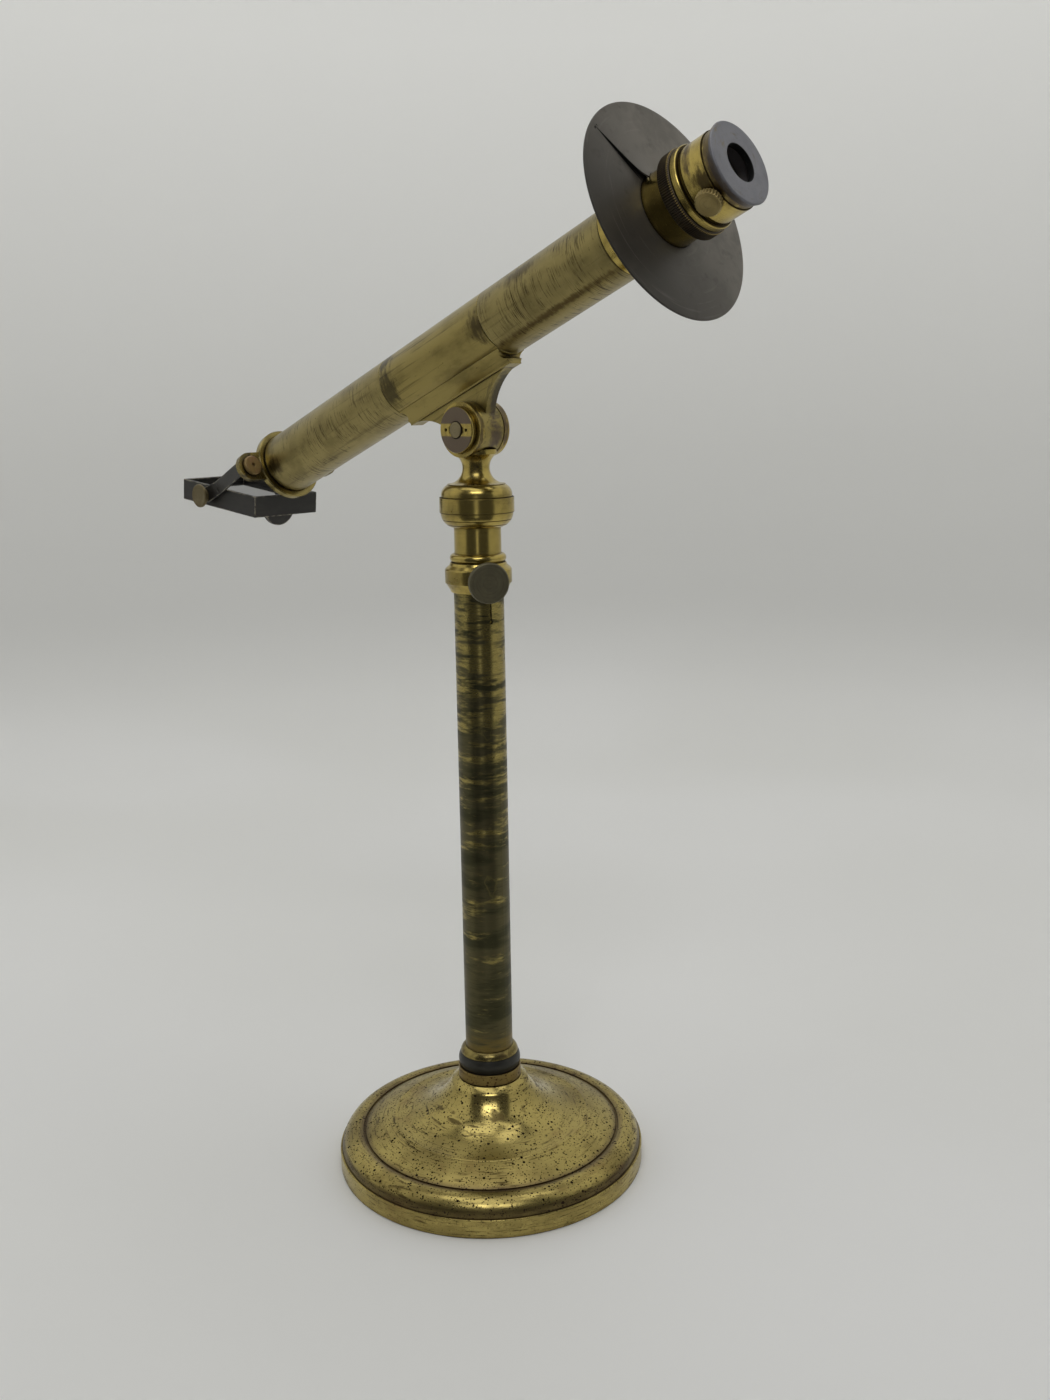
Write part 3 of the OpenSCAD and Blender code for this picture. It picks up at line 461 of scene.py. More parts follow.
def foot_brass(finish):
    """Worn brass casting: warm cloudy shine, black pits, rings of scratches, and purple-brown painted shade
    in the grooves.
    """
    brass = Surface("Brass, cast, turned and pitted", UPRIGHT, finish.foot_brass, 0.25)
    radius, high = brass.turned()
    # The hollow round the cone is scoured duller
    brass.lay(brass.band(radius, 41, 5, 11, 0.9), finish.foot_brass, 0.37)
    # Broad olive and brown clouds from handling
    brass.cloud((26, 26, 14), 0.40, 0.70, 0.6, "#665733", 0.36)
    brass.cloud((17, 17, 8), 0.54, 0.76, 0.45, "#7d5c3c", 0.34)
    # The cone is handled less and shines more
    brass.lay(brass.fading(radius, 36 * MM, 24 * MM, 0.75), finish.foot_brass, 0.15)
    # Scratches that follow the turning, in patches
    zone = brass.patches(brass.scaled(brass.local, (20, 20, 12)), 0.36, 0.56, 0.75)
    height = brass.rings(0.45, 9, 0.54, 0.66, zone, "#3a2c1c", 0.42)
    # Pits of many sizes, scattered in patches, with fewer on the lower band
    above = brass.add("MapRange", {
        "Value": high, "From Min": 6.5 * MM, "From Max": 9.5 * MM, "To Min": 0.3})[0]
    spread = brass.patches(brass.scaled(brass.local, 15), 0.27, 0.44, above)
    for cell, size in ((2.1, 0.31), (1.2, 0.36), (0.7, 0.40)):
        cells = brass.add("TexVoronoi", {"Vector": brass.scaled(brass.local, cell), "Scale": 1.0})
        chance = brass.add("SeparateColor", {0: cells["Color"]})[0]
        room = brass.add("MapRange", {
            "Value": chance, "From Min": 1 - finish.pits, "From Max": 1.0, "To Max": size})[0]
        depth = brass.add("Math", {0: room, 1: cells["Distance"]}, operation="SUBTRACT")[0]
        pit = brass.lay(brass.fading(depth, 0.0, 0.04, spread), "#1b130d", 0.7)
        height = brass.add("Math", {0: height, 1: pit}, operation="SUBTRACT")[0]
    # Purple-brown painted shade along the turned groove, a dark line at the moulding's foot, brown on the
    # neck, and painted shade in the corners
    brass.lay(brass.band(radius, 53.4, 0.7, 2.2, 0.5), "#55443e", 0.42)
    brass.lay(brass.band(radius, 62.3, 0.2, 0.8, 0.7), "#3a2d24", 0.42)
    brass.lay(brass.fading(high, 36.6 * MM, 37.1 * MM, 0.6), "#6b5334", 0.40)
    brass.corner_shade(2.6, "#443534", 0.5, 0.7)
    return brass.done(height, 0.02)


def pillar_brass(finish):
    """Handled pillar: grey-green tarnish in rings, rubbed back to gold in short streaks, brighter above."""
    brass = Surface("Brass tube, drawn and tarnished in rings", UPRIGHT, finish.pillar, 0.27)
    high = brass.turned()[1]
    # Streaks of tarnish cover nearly all of the lower pillar and half of the upper
    level = brass.add("MapRange", {
        "Value": high, "From Min": 135 * MM, "From Max": 200 * MM, "To Min": 0.35, "To Max": 0.51})[0]
    streaks = brass.add("TexNoise", {
        "Vector": brass.lathe_lines(3.6, 18), "Scale": 1.0, "Detail": 5.0, "Roughness": 0.66})[0]
    over = brass.add("Math", {0: streaks, 1: level}, operation="SUBTRACT")[0]
    cover = brass.lay(brass.fading(over, -0.05, 0.10, 0.93), "#55513c", 0.42)
    # Within it, greener and blacker bands
    brass.rings(9, 40, 0.44, 0.62, cover, "#44432f", 0.46, 4.0)
    fine = brass.rings(0.7, 10, 0.55, 0.69, 0.45, "#322f22", 0.46, 4.0)
    # Rubbed back to gold just above the socket
    brass.rings(2.4, 14, 0.34, 0.56, brass.fading(high, 60 * MM, 52 * MM, 0.7), "#84703c", 0.34, 4.0)
    # Short pale scratches
    brass.rings(0.5, 4, 0.63, 0.74, 0.45, "#857c50", 0.36)
    # Rims of dried drops, in thousandths of a drop's cell
    wobble = brass.scaled(brass.local, (5, 5, 7))
    shaky = brass.add("TexNoise", {"Vector": wobble, "Scale": 1.0})["Color"]
    drops = {0: shaky, 1: (0.55, 0.55, 0.55), 2: brass.scaled(brass.local, (15, 15, 19))}
    bent = brass.add("VectorMath", drops, operation="MULTIPLY_ADD")[0]
    cells = brass.add("TexVoronoi", {"Vector": bent, "Scale": 1.0})
    chance = brass.add("SeparateColor", {0: cells["Color"]})[1]
    rare = brass.fading(chance, 0.72, 0.74, 0.6)
    brass.lay(brass.band(cells["Distance"], 270, 8, 26, rare), "#756e45", 0.38)
    # Painted shade in the corners and grooves
    brass.corner_shade(1.6, "#241f14", 0.6)
    return brass.done(fine, 0.01)


def lacquered_brass(finish):
    """Old pale lacquer on a drawn tube: milky sheen, brown scratches round it and stains along it."""
    brass = Surface("Brass tube, drawn and lacquered pale", TUBE, finish.lacquer, 0.36)
    brass.cloud((12, 12, 16), 0.40, 0.70, 0.5, "#5f532d", 0.44)
    # Lengthwise brown stains
    brass.cloud((3.2, 3.2, 48), 0.56, 0.74, 0.6, "#43341a", 0.46)
    brass.stain([
        ((10.3, -7.4, 60), (1.6, 1.6, 32), "#584825"), ((-7.5, -10.3, 52), (3.5, 3.5, 9), "#554828"),
        ((3, -12.3, -106.5), (5, 3, 4), "#463a20")])
    # Worn rings of scratches in patches, dark ones and bright ones
    zone = brass.patches(brass.scaled(brass.local, (10, 10, 14)), 0.42, 0.58, 0.9)
    rings = brass.rings(0.42, 9, 0.52, 0.64, zone, "#3f321a", 0.5)
    brass.rings(0.36, 5, 0.60, 0.70, 0.5, "#a89a66", 0.36)
    brass.cloud(1.1, 0.66, 0.74, 0.6, "#322713", 0.55, 3.0)
    # Painted shade in the corners and grooves
    brass.corner_shade(1.4, "#2a2114", 0.6)
    return brass.done(rings, 0.006, **{"Coat Weight": 0.25, "Coat Roughness": 0.3})


def sleeve_brass(finish, name, edge=0.0, stains=()):
    """Brown-green lacquer: darker gold with streaks along the tube and black stains by the seams."""
    brass = Surface(name, TUBE, finish.sleeve, 0.34)
    brass.cloud((8, 8, 18), 0.42, 0.70, 0.5, "#5c5028", 0.42)
    run = brass.cloud((1.6, 1.6, 40), 0.54, 0.72, 0.6, "#44371c", 0.46)
    brass.stain(stains)
    brass.cloud((0.9, 0.9, 2.0), 0.66, 0.74, 0.6, "#2f2415", 0.55, 3.0)
    # Painted shade in the corners and grooves
    brass.corner_shade(1.6, "#241c12", 0.6)
    return brass.done(run, 0.006, edge=edge, **{"Coat Weight": 0.2, "Coat Roughness": 0.3})


def nut_brass(finish):
    """Nut of the compass joint: a gold band rubbed by the spanner between two purple-brown fields."""
    brass = Surface("Brass, turned, rubbed across the face", PIN, finish.brass, 0.24)
    radius, high = brass.turned()
    lines = brass.rings(0.25, 8, 0.38, 0.70, 0.45, finish.tarnish, 0.36)
    # The face is brown but for the band
    face = brass.fading(high, 10.0 * MM, 10.2 * MM, 0.94)
    across = brass.add("SeparateXYZ", {0: brass.local})[1]
    away = brass.add("Math", {0: across}, operation="ABSOLUTE")[0]
    brass.lay(brass.fading(away, 1.9 * MM, 2.7 * MM, face), "#6b5f56", 0.40)
    # A dark line round the pin and a dark band on the rim, with painted shade in the corners
    brass.lay(brass.band(radius, 3.1, 0.12, 0.15), "#15100b", 0.6)
    brass.lay(brass.band(high, 9.3, 0.15, 0.2, 0.8), "#2a2015", 0.5)
    brass.corner_shade(1.0, "#1c140e", 0.6)
    return brass.done(lines, 0.016, edge=0.25)


def dull_brass(name, place, body="#6d5c30", worn="#8a7640", metallic=0.55, tips=None):
    """Bronzed brass of screws and grips: dark, low shine, paler where fingers touch."""
    brass = Surface(name, place, body, 0.46)
    brass.cloud(4, 0.42, 0.70, 0.6, worn, 0.38)
    lines = brass.rings(0.3, 10, 0.45, 0.75, 0.3, "#2b2517", 0.5)
    # Painted shade in the corners and grooves
    brass.corner_shade(0.9, "#17130c", 0.7)
    # Bright tips of worn teeth along an edge, given by its radius and height: worn brass with a painted
    # highlight
    if tips:
        radius, high = brass.turned()
        crest = brass.fading(radius, (tips[0] - 0.16) * MM, (tips[0] - 0.06) * MM)
        brass.lay(brass.band(high, tips[1], 0.25, 0.2, crest), "#b49c5c", 0.3)
    return brass.done(lines, 0.014, metallic=metallic)


def blackened_brass(name, place, body, cloudy, roughness, bore=None, stains=()):
    """Chemically blackened brass: matte grey with cloudy patches, fine specks, and a bore turned black by
    painted shade.
    """
    brass = Surface(name, place, body, roughness)
    brass.cloud(11, 0.40, 0.68, 0.7, cloudy, roughness + 0.05)
    specks = brass.cloud(0.9, 0.66, 0.76, 0.5, "#2c2925", roughness + 0.1, 3.0)
    brass.stain(stains)
    # Painted shade: the bore is turned near black
    if bore:
        brass.lay(brass.fading(brass.turned()[0], (bore + 0.2) * MM, bore * MM), "#0b0b0a", 0.7)
    # Painted shade in the corners and grooves
    brass.corner_shade(1.5, "#191715", 0.7)
    return brass.done(specks, 0.006, metallic=0.35)


def shade_brass():
    """Blackened sheet of the eye shade: grey-brown, with painted shade deepening to the near side below, and
    smoky patches.
    """
    brass = Surface("Brass sheet, spun and blackened", TUBE, "#7b766d", 0.46)
    # Painted shade deepens across the disc
    fall = {0: brass.local, 1: (0.45, -0.9, 0)}
    shade_slope = brass.add("VectorMath", fall, operation="DOT_PRODUCT")["Value"]
    brass.lay(brass.fading(shade_slope, -22 * MM, 38 * MM), "#37332d", 0.50)
    brass.cloud(13, 0.42, 0.70, 0.45, "#4a463f", 0.5)
    brass.cloud(5, 0.56, 0.72, 0.35, "#3a352f", 0.52)
    rings = brass.rings(1.1, 22, 0.58, 0.72, 0.2, "#8a847b", 0.42)
    # Painted shadow along the slit, and painted shade in the corners
    slit_shadow = brass.spot(brass.along(SLIT), (24.5, 0.1, 0), (11.5, 0.4, 4))
    brass.lay(brass.fading(slit_shadow, 1.2, 0.8), "#12110f", 0.7)
    brass.corner_shade(1.5, "#191715", 0.7)
    return brass.done(rings, 0.02, metallic=0.35)


def black_paint(name):
    """Black japan on brass: deep brown-black with a soft sheen, rubbed through to metal at the edges."""
    paint = Surface(name, MIRROR, "#2b2926", 0.42)
    paint.cloud((9, 9, 5), 0.42, 0.70, 0.6, "#3b3833", 0.5)
    lines = paint.cloud((16, 0.5, 0.5), 0.50, 0.75, 0.3, "#45413a", 0.46, 3.0)
    # Metal shows where the edges are rubbed
    soft = paint.add("Bevel", {"Radius": 0.7 * MM}, samples=3)[0]
    plain = paint.add("NewGeometry", {})["Normal"]
    same = paint.add("VectorMath", {0: soft, 1: plain}, operation="DOT_PRODUCT")["Value"]
    rub = paint.patches(paint.scaled(paint.local, 4), 0.42, 0.58)
    paint.lay(paint.fading(same, 0.99, 0.93, rub), "#b5ad96", 0.36)
    return paint.done(lines, 0.02, metallic=0.25)


def black_glass():
    """Polished black glass: a dark mirror with a little dust."""
    glass = Surface("Glass, black, polished", MIRROR, "#08090b", 0.03)
    dust = glass.cloud(2.5, 0.50, 0.75, 0.25, "#5a5a58", 0.25, 6.0)
    return glass.done(dust, 0.004, metallic=0.0, IOR=1.52)


def calcite():
    """Clear calcite with faint inner veils."""
    stone = Surface("Calcite, cleaved and polished", TUBE, "#e4ebe8", 0.03)
    veil = stone.cloud((4, 4, 9), 0.55, 0.80, 0.3, "#c6cdc9", 0.15)
    return stone.done(veil, 0.003, metallic=0.0, IOR=1.6, **{"Transmission Weight": 0.9})


def cork(name, place):
    """Cut cork: warm brown grain with dark pores."""
    bark = Surface(name, place, "#a07a4c", 0.85)
    bark.cloud(1.6, 0.40, 0.65, 0.6, "#7a5836", 0.9)
    pores = bark.cloud((0.8, 0.8, 2.0), 0.64, 0.72, 1.0, "#3d2a1a", 0.95, 2.0)
    return bark.done(pores, -0.15, metallic=0.0)


# Pieces

class PieceOperator:
    """What the operators of the pieces share."""

    bl_options = {"REGISTER", "UNDO"}

    def settings(self, context):
        """The sizes, the finishes, and the rounding of turned edges in millimetres."""
        sizes = context.scene.polariscope_sizes
        return sizes, context.scene.polariscope_finish, sizes.edge_round / MM


class POLARISCOPE_OT_foot(PieceOperator, bpy.types.Operator):
    """Turns the foot with its mouldings, and finishes the washer and nut under it"""

    bl_idname = "polariscope.foot"
    bl_label = "Foot"

    def execute(self, context):
        sizes, finish, ease = self.settings(context)
        profile = [(55, 0, ease), (63.5, 0, 2 * ease), (63.5, 7.8, 2 * ease), (62.6, 7.8)]
        profile += arc((55.7, 7.8), 6.9, 2, 105.8, 24)
        profile += arc((53.2, 14.1), 0.7, 29, -209, 10)
        profile += arc((23.72, -38.16), 60, 61.25, 73.4, 12)
        profile += [(41, 19.4), (40.7, 19.65)]
        profile += arc((41, 48.1), 28.4, -92, -152.9, 26)
        profile += [(13.35, 36.7, 2 * ease), (12.55, 36.7), (12.95, 37.1, ease), (12.95, 41.5, ease)]
        profile += [(4.6, 41.5), (4.6, 27), (12.95, 27), (12.95, 25), (20.5, 17.1), (41, 12.7), (55, 7.4)]
        # The widest piece gets half as many sides again
        made(context, spun(profile, sizes.turned_steps * 3 // 2), "foot", UPRIGHT, foot_brass(finish))
        finished(dull_brass("Brass, turned and left dull", UPRIGHT), "foot_washer", "foot_nut")
        return {"FINISHED"}


class POLARISCOPE_OT_pillar(PieceOperator, bpy.types.Operator):
    """Turns the bead, socket, collar and lip, and finishes the sawn pillar tube"""

    bl_idname = "polariscope.pillar"
    bl_label = "Pillar"

    def execute(self, context):
        sizes, finish, ease = self.settings(context)
        steps = sizes.turned_steps
        brass = polished_brass(finish, "Brass, turned and polished, pillar", UPRIGHT)
        black = blackened_brass("Brass, turned and blackened, bead", UPRIGHT, "#2d2c27", "#3a3930", 0.38)
        bead = [(7.52, 41.5)] + arc((7.3, 44.4), 5.5, -31.8, 31.8, 14) + [(7.52, 47.3)]
        made(context, spun(bead, steps), "pillar_bead", UPRIGHT, black)
        socket = [(0, 16.5), (4.5, 16.5), (4.5, 41.5), (7.5, 41.5), (7.5, 47.3), (11.6, 47.3)]
        socket += arc((8.65, 47.3), 3.3, 5, 65.4, 12) + [(9.77, 50.3), (9.77, 48.1), (0, 48.1)]
        dim = polished_brass(finish, "Brass, turned, socket", UPRIGHT, 0.95, colour=finish.pillar)
        made(context, spun(socket, steps, closed=False), "pillar_socket", UPRIGHT, dim)
        collar = [
            (9.77, 240.5), (10.85, 240.5, ease), (11.25, 241.5, ease), (12.6, 243.7, ease),
            (13, 244.1, ease), (13, 249.1, ease), (12.6, 249.7, ease), (11.25, 250.9, ease),
            (10.85, 251.9, ease), (9.77, 251.9)]
        made(context, spun(collar, steps), "clamp_collar", UPRIGHT, brass)
        lip = [(9.77, 251.9), (10.1, 251.9)] + arc((9.25, 253.6), 1.7, -60, 90, 12)
        lip += [(9.17, 255.3), (9.17, 254.5), (9.77, 254.5)]
        made(context, spun(lip, steps), "pillar_lip", UPRIGHT, brass)
        finished(pillar_brass(finish), "pillar_tube")
        return {"FINISHED"}


class POLARISCOPE_OT_clamp_screw(PieceOperator, bpy.types.Operator):
    """Turns and mills the thumbscrew that pinches the pillar"""

    bl_idname = "polariscope.clamp_screw"
    bl_label = "Clamp screw"

    def execute(self, context):
        sizes, _, ease = self.settings(context)
        rim = 7.8
        profile = [
            (0, 10.05), (2.2, 10.05), (2.2, 13.3), (3.2, 13.3, ease), (3.2, 19.4), (7.3, 19.4, 2 * ease),
            (rim, 19.9, ease), (rim, 21.0), (rim, 22.1, ease), (7.3, 22.6, 2 * ease), (3.2, 22.45),
            (0, 22.45)]
        bm = milled(profile, rim, sizes.knob_tooth / MM, sizes.knob_teeth, TOOTH_SIDES, closed=False)
        bronze = dull_brass("Brass, turned, milled and bronzed, clamp screw", CLAMP, "#6b6650", "#7a7358")
        made(context, bm, "clamp_screw", CLAMP, bronze)
        return {"FINISHED"}


class POLARISCOPE_OT_riser(PieceOperator, bpy.types.Operator):
    """Turns the bulb on the riser and finishes the riser tube"""

    bl_idname = "polariscope.riser"
    bl_label = "Riser"

    def execute(self, context):
        sizes, finish, ease = self.settings(context)
        seams = (266.5, 268.3, 271.15, 276.95)
        brass = polished_brass(finish, "Brass, turned and polished, bulb", UPRIGHT, seams=seams)
        profile = [(9.12, 265.5), (9.94, 265.5)]
        profile += arc((8.1, 271.1), 5.9, -71.7, -1, 14)
        profile += [(14.4, 271.1, ease), (14.4, 276.9, ease), (13.66, 276.9)]
        profile += arc((9.1, 277.5), 4.6, -6, 66, 14)
        profile += [(9.1, 281.7), (4, 281.7), (4, 271.1), (9.12, 271.1)]
        made(context, spun(profile, sizes.turned_steps), "riser_bulb", UPRIGHT, brass)
        finished(polished_brass(finish, "Brass tube, drawn and polished", UPRIGHT, 0.3), "riser_tube")
        return {"FINISHED"}


class POLARISCOPE_OT_compass_joint(PieceOperator, bpy.types.Operator):
    """Finishes the fork, pin and nuts of the compass joint"""

    bl_idname = "polariscope.compass_joint"
    bl_label = "Compass joint"

    def execute(self, context):
        finish = context.scene.polariscope_finish
        # A painted shadow at the slot's foot, and a dark stain on the neck
        stains = [
            ((3.6, -10.2, 3.9), (1.7, 1.2, 2.2), "#2f261c"), ((3.4, -14.2, 3.6), (1.6, 1.2, 1.6), "#3a2f22")]
        # Brown flanks of the two cheeks
        stains += [((8, 2, -6.2), (12, 14, 1.9), "#574a42"), ((8, 2, 6.7), (9, 12, 1.5), "#4d4234")]
        fork = polished_brass(finish, "Brass, turned and slotted", PIN, 0.7, 0.3, stains=stains)
        finished(fork, "joint_fork")
        # The nut and the pin's end stand a little prouder than in the frame
        near_face = -8.5
        pin = dull_brass("Brass, turned, hinge pin", PIN, "#8d8161", "#776c4e", 0.7)
        for node, rise, material in (("hinge_nut", 1.1, nut_brass(finish)), ("hinge_pin", 1.3, pin)):
            bm = bmesh.new()
            bm.from_mesh(frame["nodes"][node].data)
            bmesh.ops.transform(bm, matrix=Matrix.Scale(1 / MM, 4), verts=bm.verts)
            front = [vert for vert in bm.verts if vert.co.y < near_face]
            bmesh.ops.translate(bm, verts=front, vec=(0, -rise, 0))
            made(context, bm, node, UPRIGHT, material)
        finished(dull_brass("Brass, turned and left dull, nut", UPRIGHT), "swivel_nut")
        return {"FINISHED"}


class POLARISCOPE_OT_tube(PieceOperator, bpy.types.Operator):
    """Turns the three lengths of the tube with their seams, and the collar behind the shade"""

    bl_idname = "polariscope.tube"
    bl_label = "Tube"

    def execute(self, context):
        sizes, finish, ease = self.settings(context)
        steps = sizes.turned_steps
        lacquer = lacquered_brass(finish)
        brown = sleeve_brass(
            finish, "Brass tube, drawn and lacquered brown", stains=[
                ((2, -12.5, 28.5), (6.5, 5, 6), "#463b22"), ((3, -12.3, -27), (8.5, 6, 6), "#433b22"),
                ((-9, -9, -27), (6, 6, 5), "#3f3822")])
        inner, outer, seam = 11.5, 12.7, 1.4 * ease
        for node, low, high, material in (
                ("lower_tube", -111, -29.5, lacquer), ("centre_sleeve", -29.5, 29.5, brown),
                ("upper_tube", 29.5, 91, lacquer)):
            profile = [(inner, low), (outer, low, seam), (outer, high, seam), (inner, high)]
            made(context, spun(profile, steps), node, TUBE, material)
        collar = [
            (10.99, 81), (11.48, 81), (11.48, 91), (outer, 91, ease), (13.1, 91.4, ease),
            (13.1, SHADE_SEAT), (10.99, SHADE_SEAT)]
        brass = polished_brass(finish, "Brass, turned and polished, collar", TUBE, 0.35, seams=(91.1, 91.4))
        made(context, spun(collar, steps), "end_collar", TUBE, brass)
        # Painted shade on the flank to the eye end, and a purple-brown patch on the tongue
        stains = [((21, 1.6, 16), (12, 3.7, 13), "#3f3c35"), ((35.7, 1.2, 8.5), (9, 3.5, 9), "#574a42")]
        saddle = sleeve_brass(finish, "Brass casting, filed and lacquered brown", 0.35, stains)
        finished(saddle, "tube_saddle")
        return {"FINISHED"}


class POLARISCOPE_OT_eye_shade(PieceOperator, bpy.types.Operator):
    """Shapes the sprung shade: a thin disc with a radial slit and a lifted lip at the hub"""

    bl_idname = "polariscope.eye_shade"
    bl_label = "Eye shade"

    def execute(self, context):
        hub, slit_end, rim, thick = 12.75, 35.2, 38.1, 0.7
        spokes, slit_rows, rim_rows = 240, 28, 3
        # The lip rises along the slit, and more within a short reach of the hub; a bend leads up to it
        rise, hub_rise, hub_reach = 1.43, 1.77, 4
        bend, bend_power = math.radians(44), 1.4
        # The lower lip parts a little from the raised one, and is tucked under it where there is room
        parting, tuck_share, tuck_start = 0.03, 1.85, 0.45
        radii = [hub + (slit_end - hub) * i / slit_rows for i in range(slit_rows + 1)]
        radii += [slit_end + (rim - slit_end) * i / rim_rows for i in range(1, rim_rows + 1)]
        bm = bmesh.new()
        rows = []
        for i, radius in enumerate(radii):
            inward = max(0.0, (slit_end - radius) / (slit_end - hub))
            height = (rise + hub_rise * math.exp((hub - radius) / hub_reach)) * inward
            tuck = max(-parting, tuck_share * (height - tuck_start)) / radius
            sweep = 2 * math.pi + tuck
            row = []
            for j in range(spokes + (i < slit_rows)):
                turn = sweep * j / spokes
                lift = height * max(0.0, 1 - (sweep - turn) / bend) ** bend_power
                place = turn - tuck
                row.append(bm.verts.new((radius * math.cos(place), radius * math.sin(place), lift)))
            rows.append(row)
        for low, high in zip(rows, rows[1:]):
            for j in range(spokes):
                bm.faces.new((low[j], high[j], high[(j + 1) % len(high)], low[(j + 1) % len(low)]))
        bmesh.ops.recalc_face_normals(bm, faces=bm.faces)
        raised(bm, bm.faces[:], (0, 0, thick))
        bmesh.ops.recalc_face_normals(bm, faces=bm.faces)
        softened(bm, 0.16)
        made(context, bm, "eye_shade", SLIT, shade_brass())
        return {"FINISHED"}


class POLARISCOPE_OT_eyepiece(PieceOperator, bpy.types.Operator):
    """Turns the eyepiece: sleeve, milled ring, stepped body, eye cap and side screw"""

    bl_idname = "polariscope.eyepiece"
    bl_label = "Eyepiece"

    def execute(self, context):
        sizes, finish, ease = self.settings(context)
        steps = sizes.turned_steps
        brass = polished_brass(finish, "Brass, turned and polished, eyepiece", TUBE, 0.45)
        sleeve = [
            (9.6, 91), (11, 91), (11, SHADE_SEAT), (12.7, SHADE_SEAT), (12.7, 119.4, ease), (9.6, 119.4)]
        made(context, spun(sleeve, steps), "eyepiece_sleeve", TUBE, brass)
        rim = 15
        ring = [(11.72, 119.55), (14.5, 119.55, ease)]
        ring += [(rim, 119.95), (rim, 120.6), (rim, 122), (rim, 123.4), (rim, 124.15)]
        ring += [(14.5, 124.55, ease), (11.72, 124.55)]
        bm = milled(ring, rim, sizes.ring_tooth / MM, sizes.ring_teeth, TOOTH_SIDES)
        # The front tips of the teeth carry worn brass and a painted highlight
        bronze = dull_brass(
            "Brass, turned, milled and bronzed, ring", TUBE, "#4c4232", "#6a5a3a", tips=(rim, 124))
        made(context, bm, "milled_ring", TUBE, bronze)
        body = [
            (8.8, 101.05), (9.55, 101.05), (9.55, 119.55), (11.7, 119.55), (11.7, 124.55),
            (14.1, 124.55, ease), (14.5, 124.95, ease), (14.5, 126.75, ease), (14.1, 127.15, ease),
            (13.2, 127.15), (13.2, 128.15), (13.6, 128.55, ease), (13.6, 136.95, ease), (13.2, 136.95),
            (13.2, 138.55), (11.62, 138.55), (11.62, 133.15), (8.8, 133.15)]
        stains = [
            ((-8.7, -10.4, 130.6), (10, 9, 1.8), "#5a4d42"), ((3.6, -13.2, 134.8), (4.6, 5, 3.4), "#453a2c"),
            ((0, 0, 138.6), (60, 60, 1.7), "#5d5142")]
        banded = polished_brass(
            finish, "Brass, turned and polished in bands, analyser", TUBE, 0.45,
            seams=(127.2, 128.2, 136.9), stains=stains)
        made(context, spun(body, steps), "analyser_body", TUBE, banded)
        cap = [
            (6.35, 139.35), (10, 138.95), (10, 133.15), (11.6, 133.15), (11.6, 138.55), (13.2, 138.55),
            (14.1, 141.15, ease), (13.7, 141.55, 2 * ease), (6.5, 141.55, ease), (6.35, 141.35, ease)]
        # The cap's flank is brown, rubbed to brass above
        flank = [((0, 0, 139.3), (60, 60, 1.7), "#5f5345"), ((-10, -8, 139.4), (10, 9, 1.7), "#8f7d4e")]
        grey = blackened_brass(
            "Brass, turned and blackened, cap", TUBE, "#86868b", "#7a7a80", 0.5, 6.5, flank)
        made(context, spun(cap, steps), "eye_cap", TUBE, grey)
        rim = 4.45
        screw = [
            (0, 12), (1.4, 12), (1.4, 14), (4.05, 14, ease), (rim, 14.4, ease), (rim, 15.4),
            (rim, 16.3, ease), (3.95, 16.8, 2 * ease), (3.7, 16.65), (0, 16.6)]
        # The coarse teeth of the small screw take more sides
        bm = milled(screw, rim, sizes.side_tooth / MM, sizes.side_teeth, TOOTH_SIDES + 2, closed=False)
        bronze = dull_brass(
            "Brass, turned, milled and bronzed, side screw", SIDE_SCREW, "#b09c63", "#c2ae74", 0.5)
        made(context, bm, "analyser_screw", SIDE_SCREW, bronze)
        return {"FINISHED"}


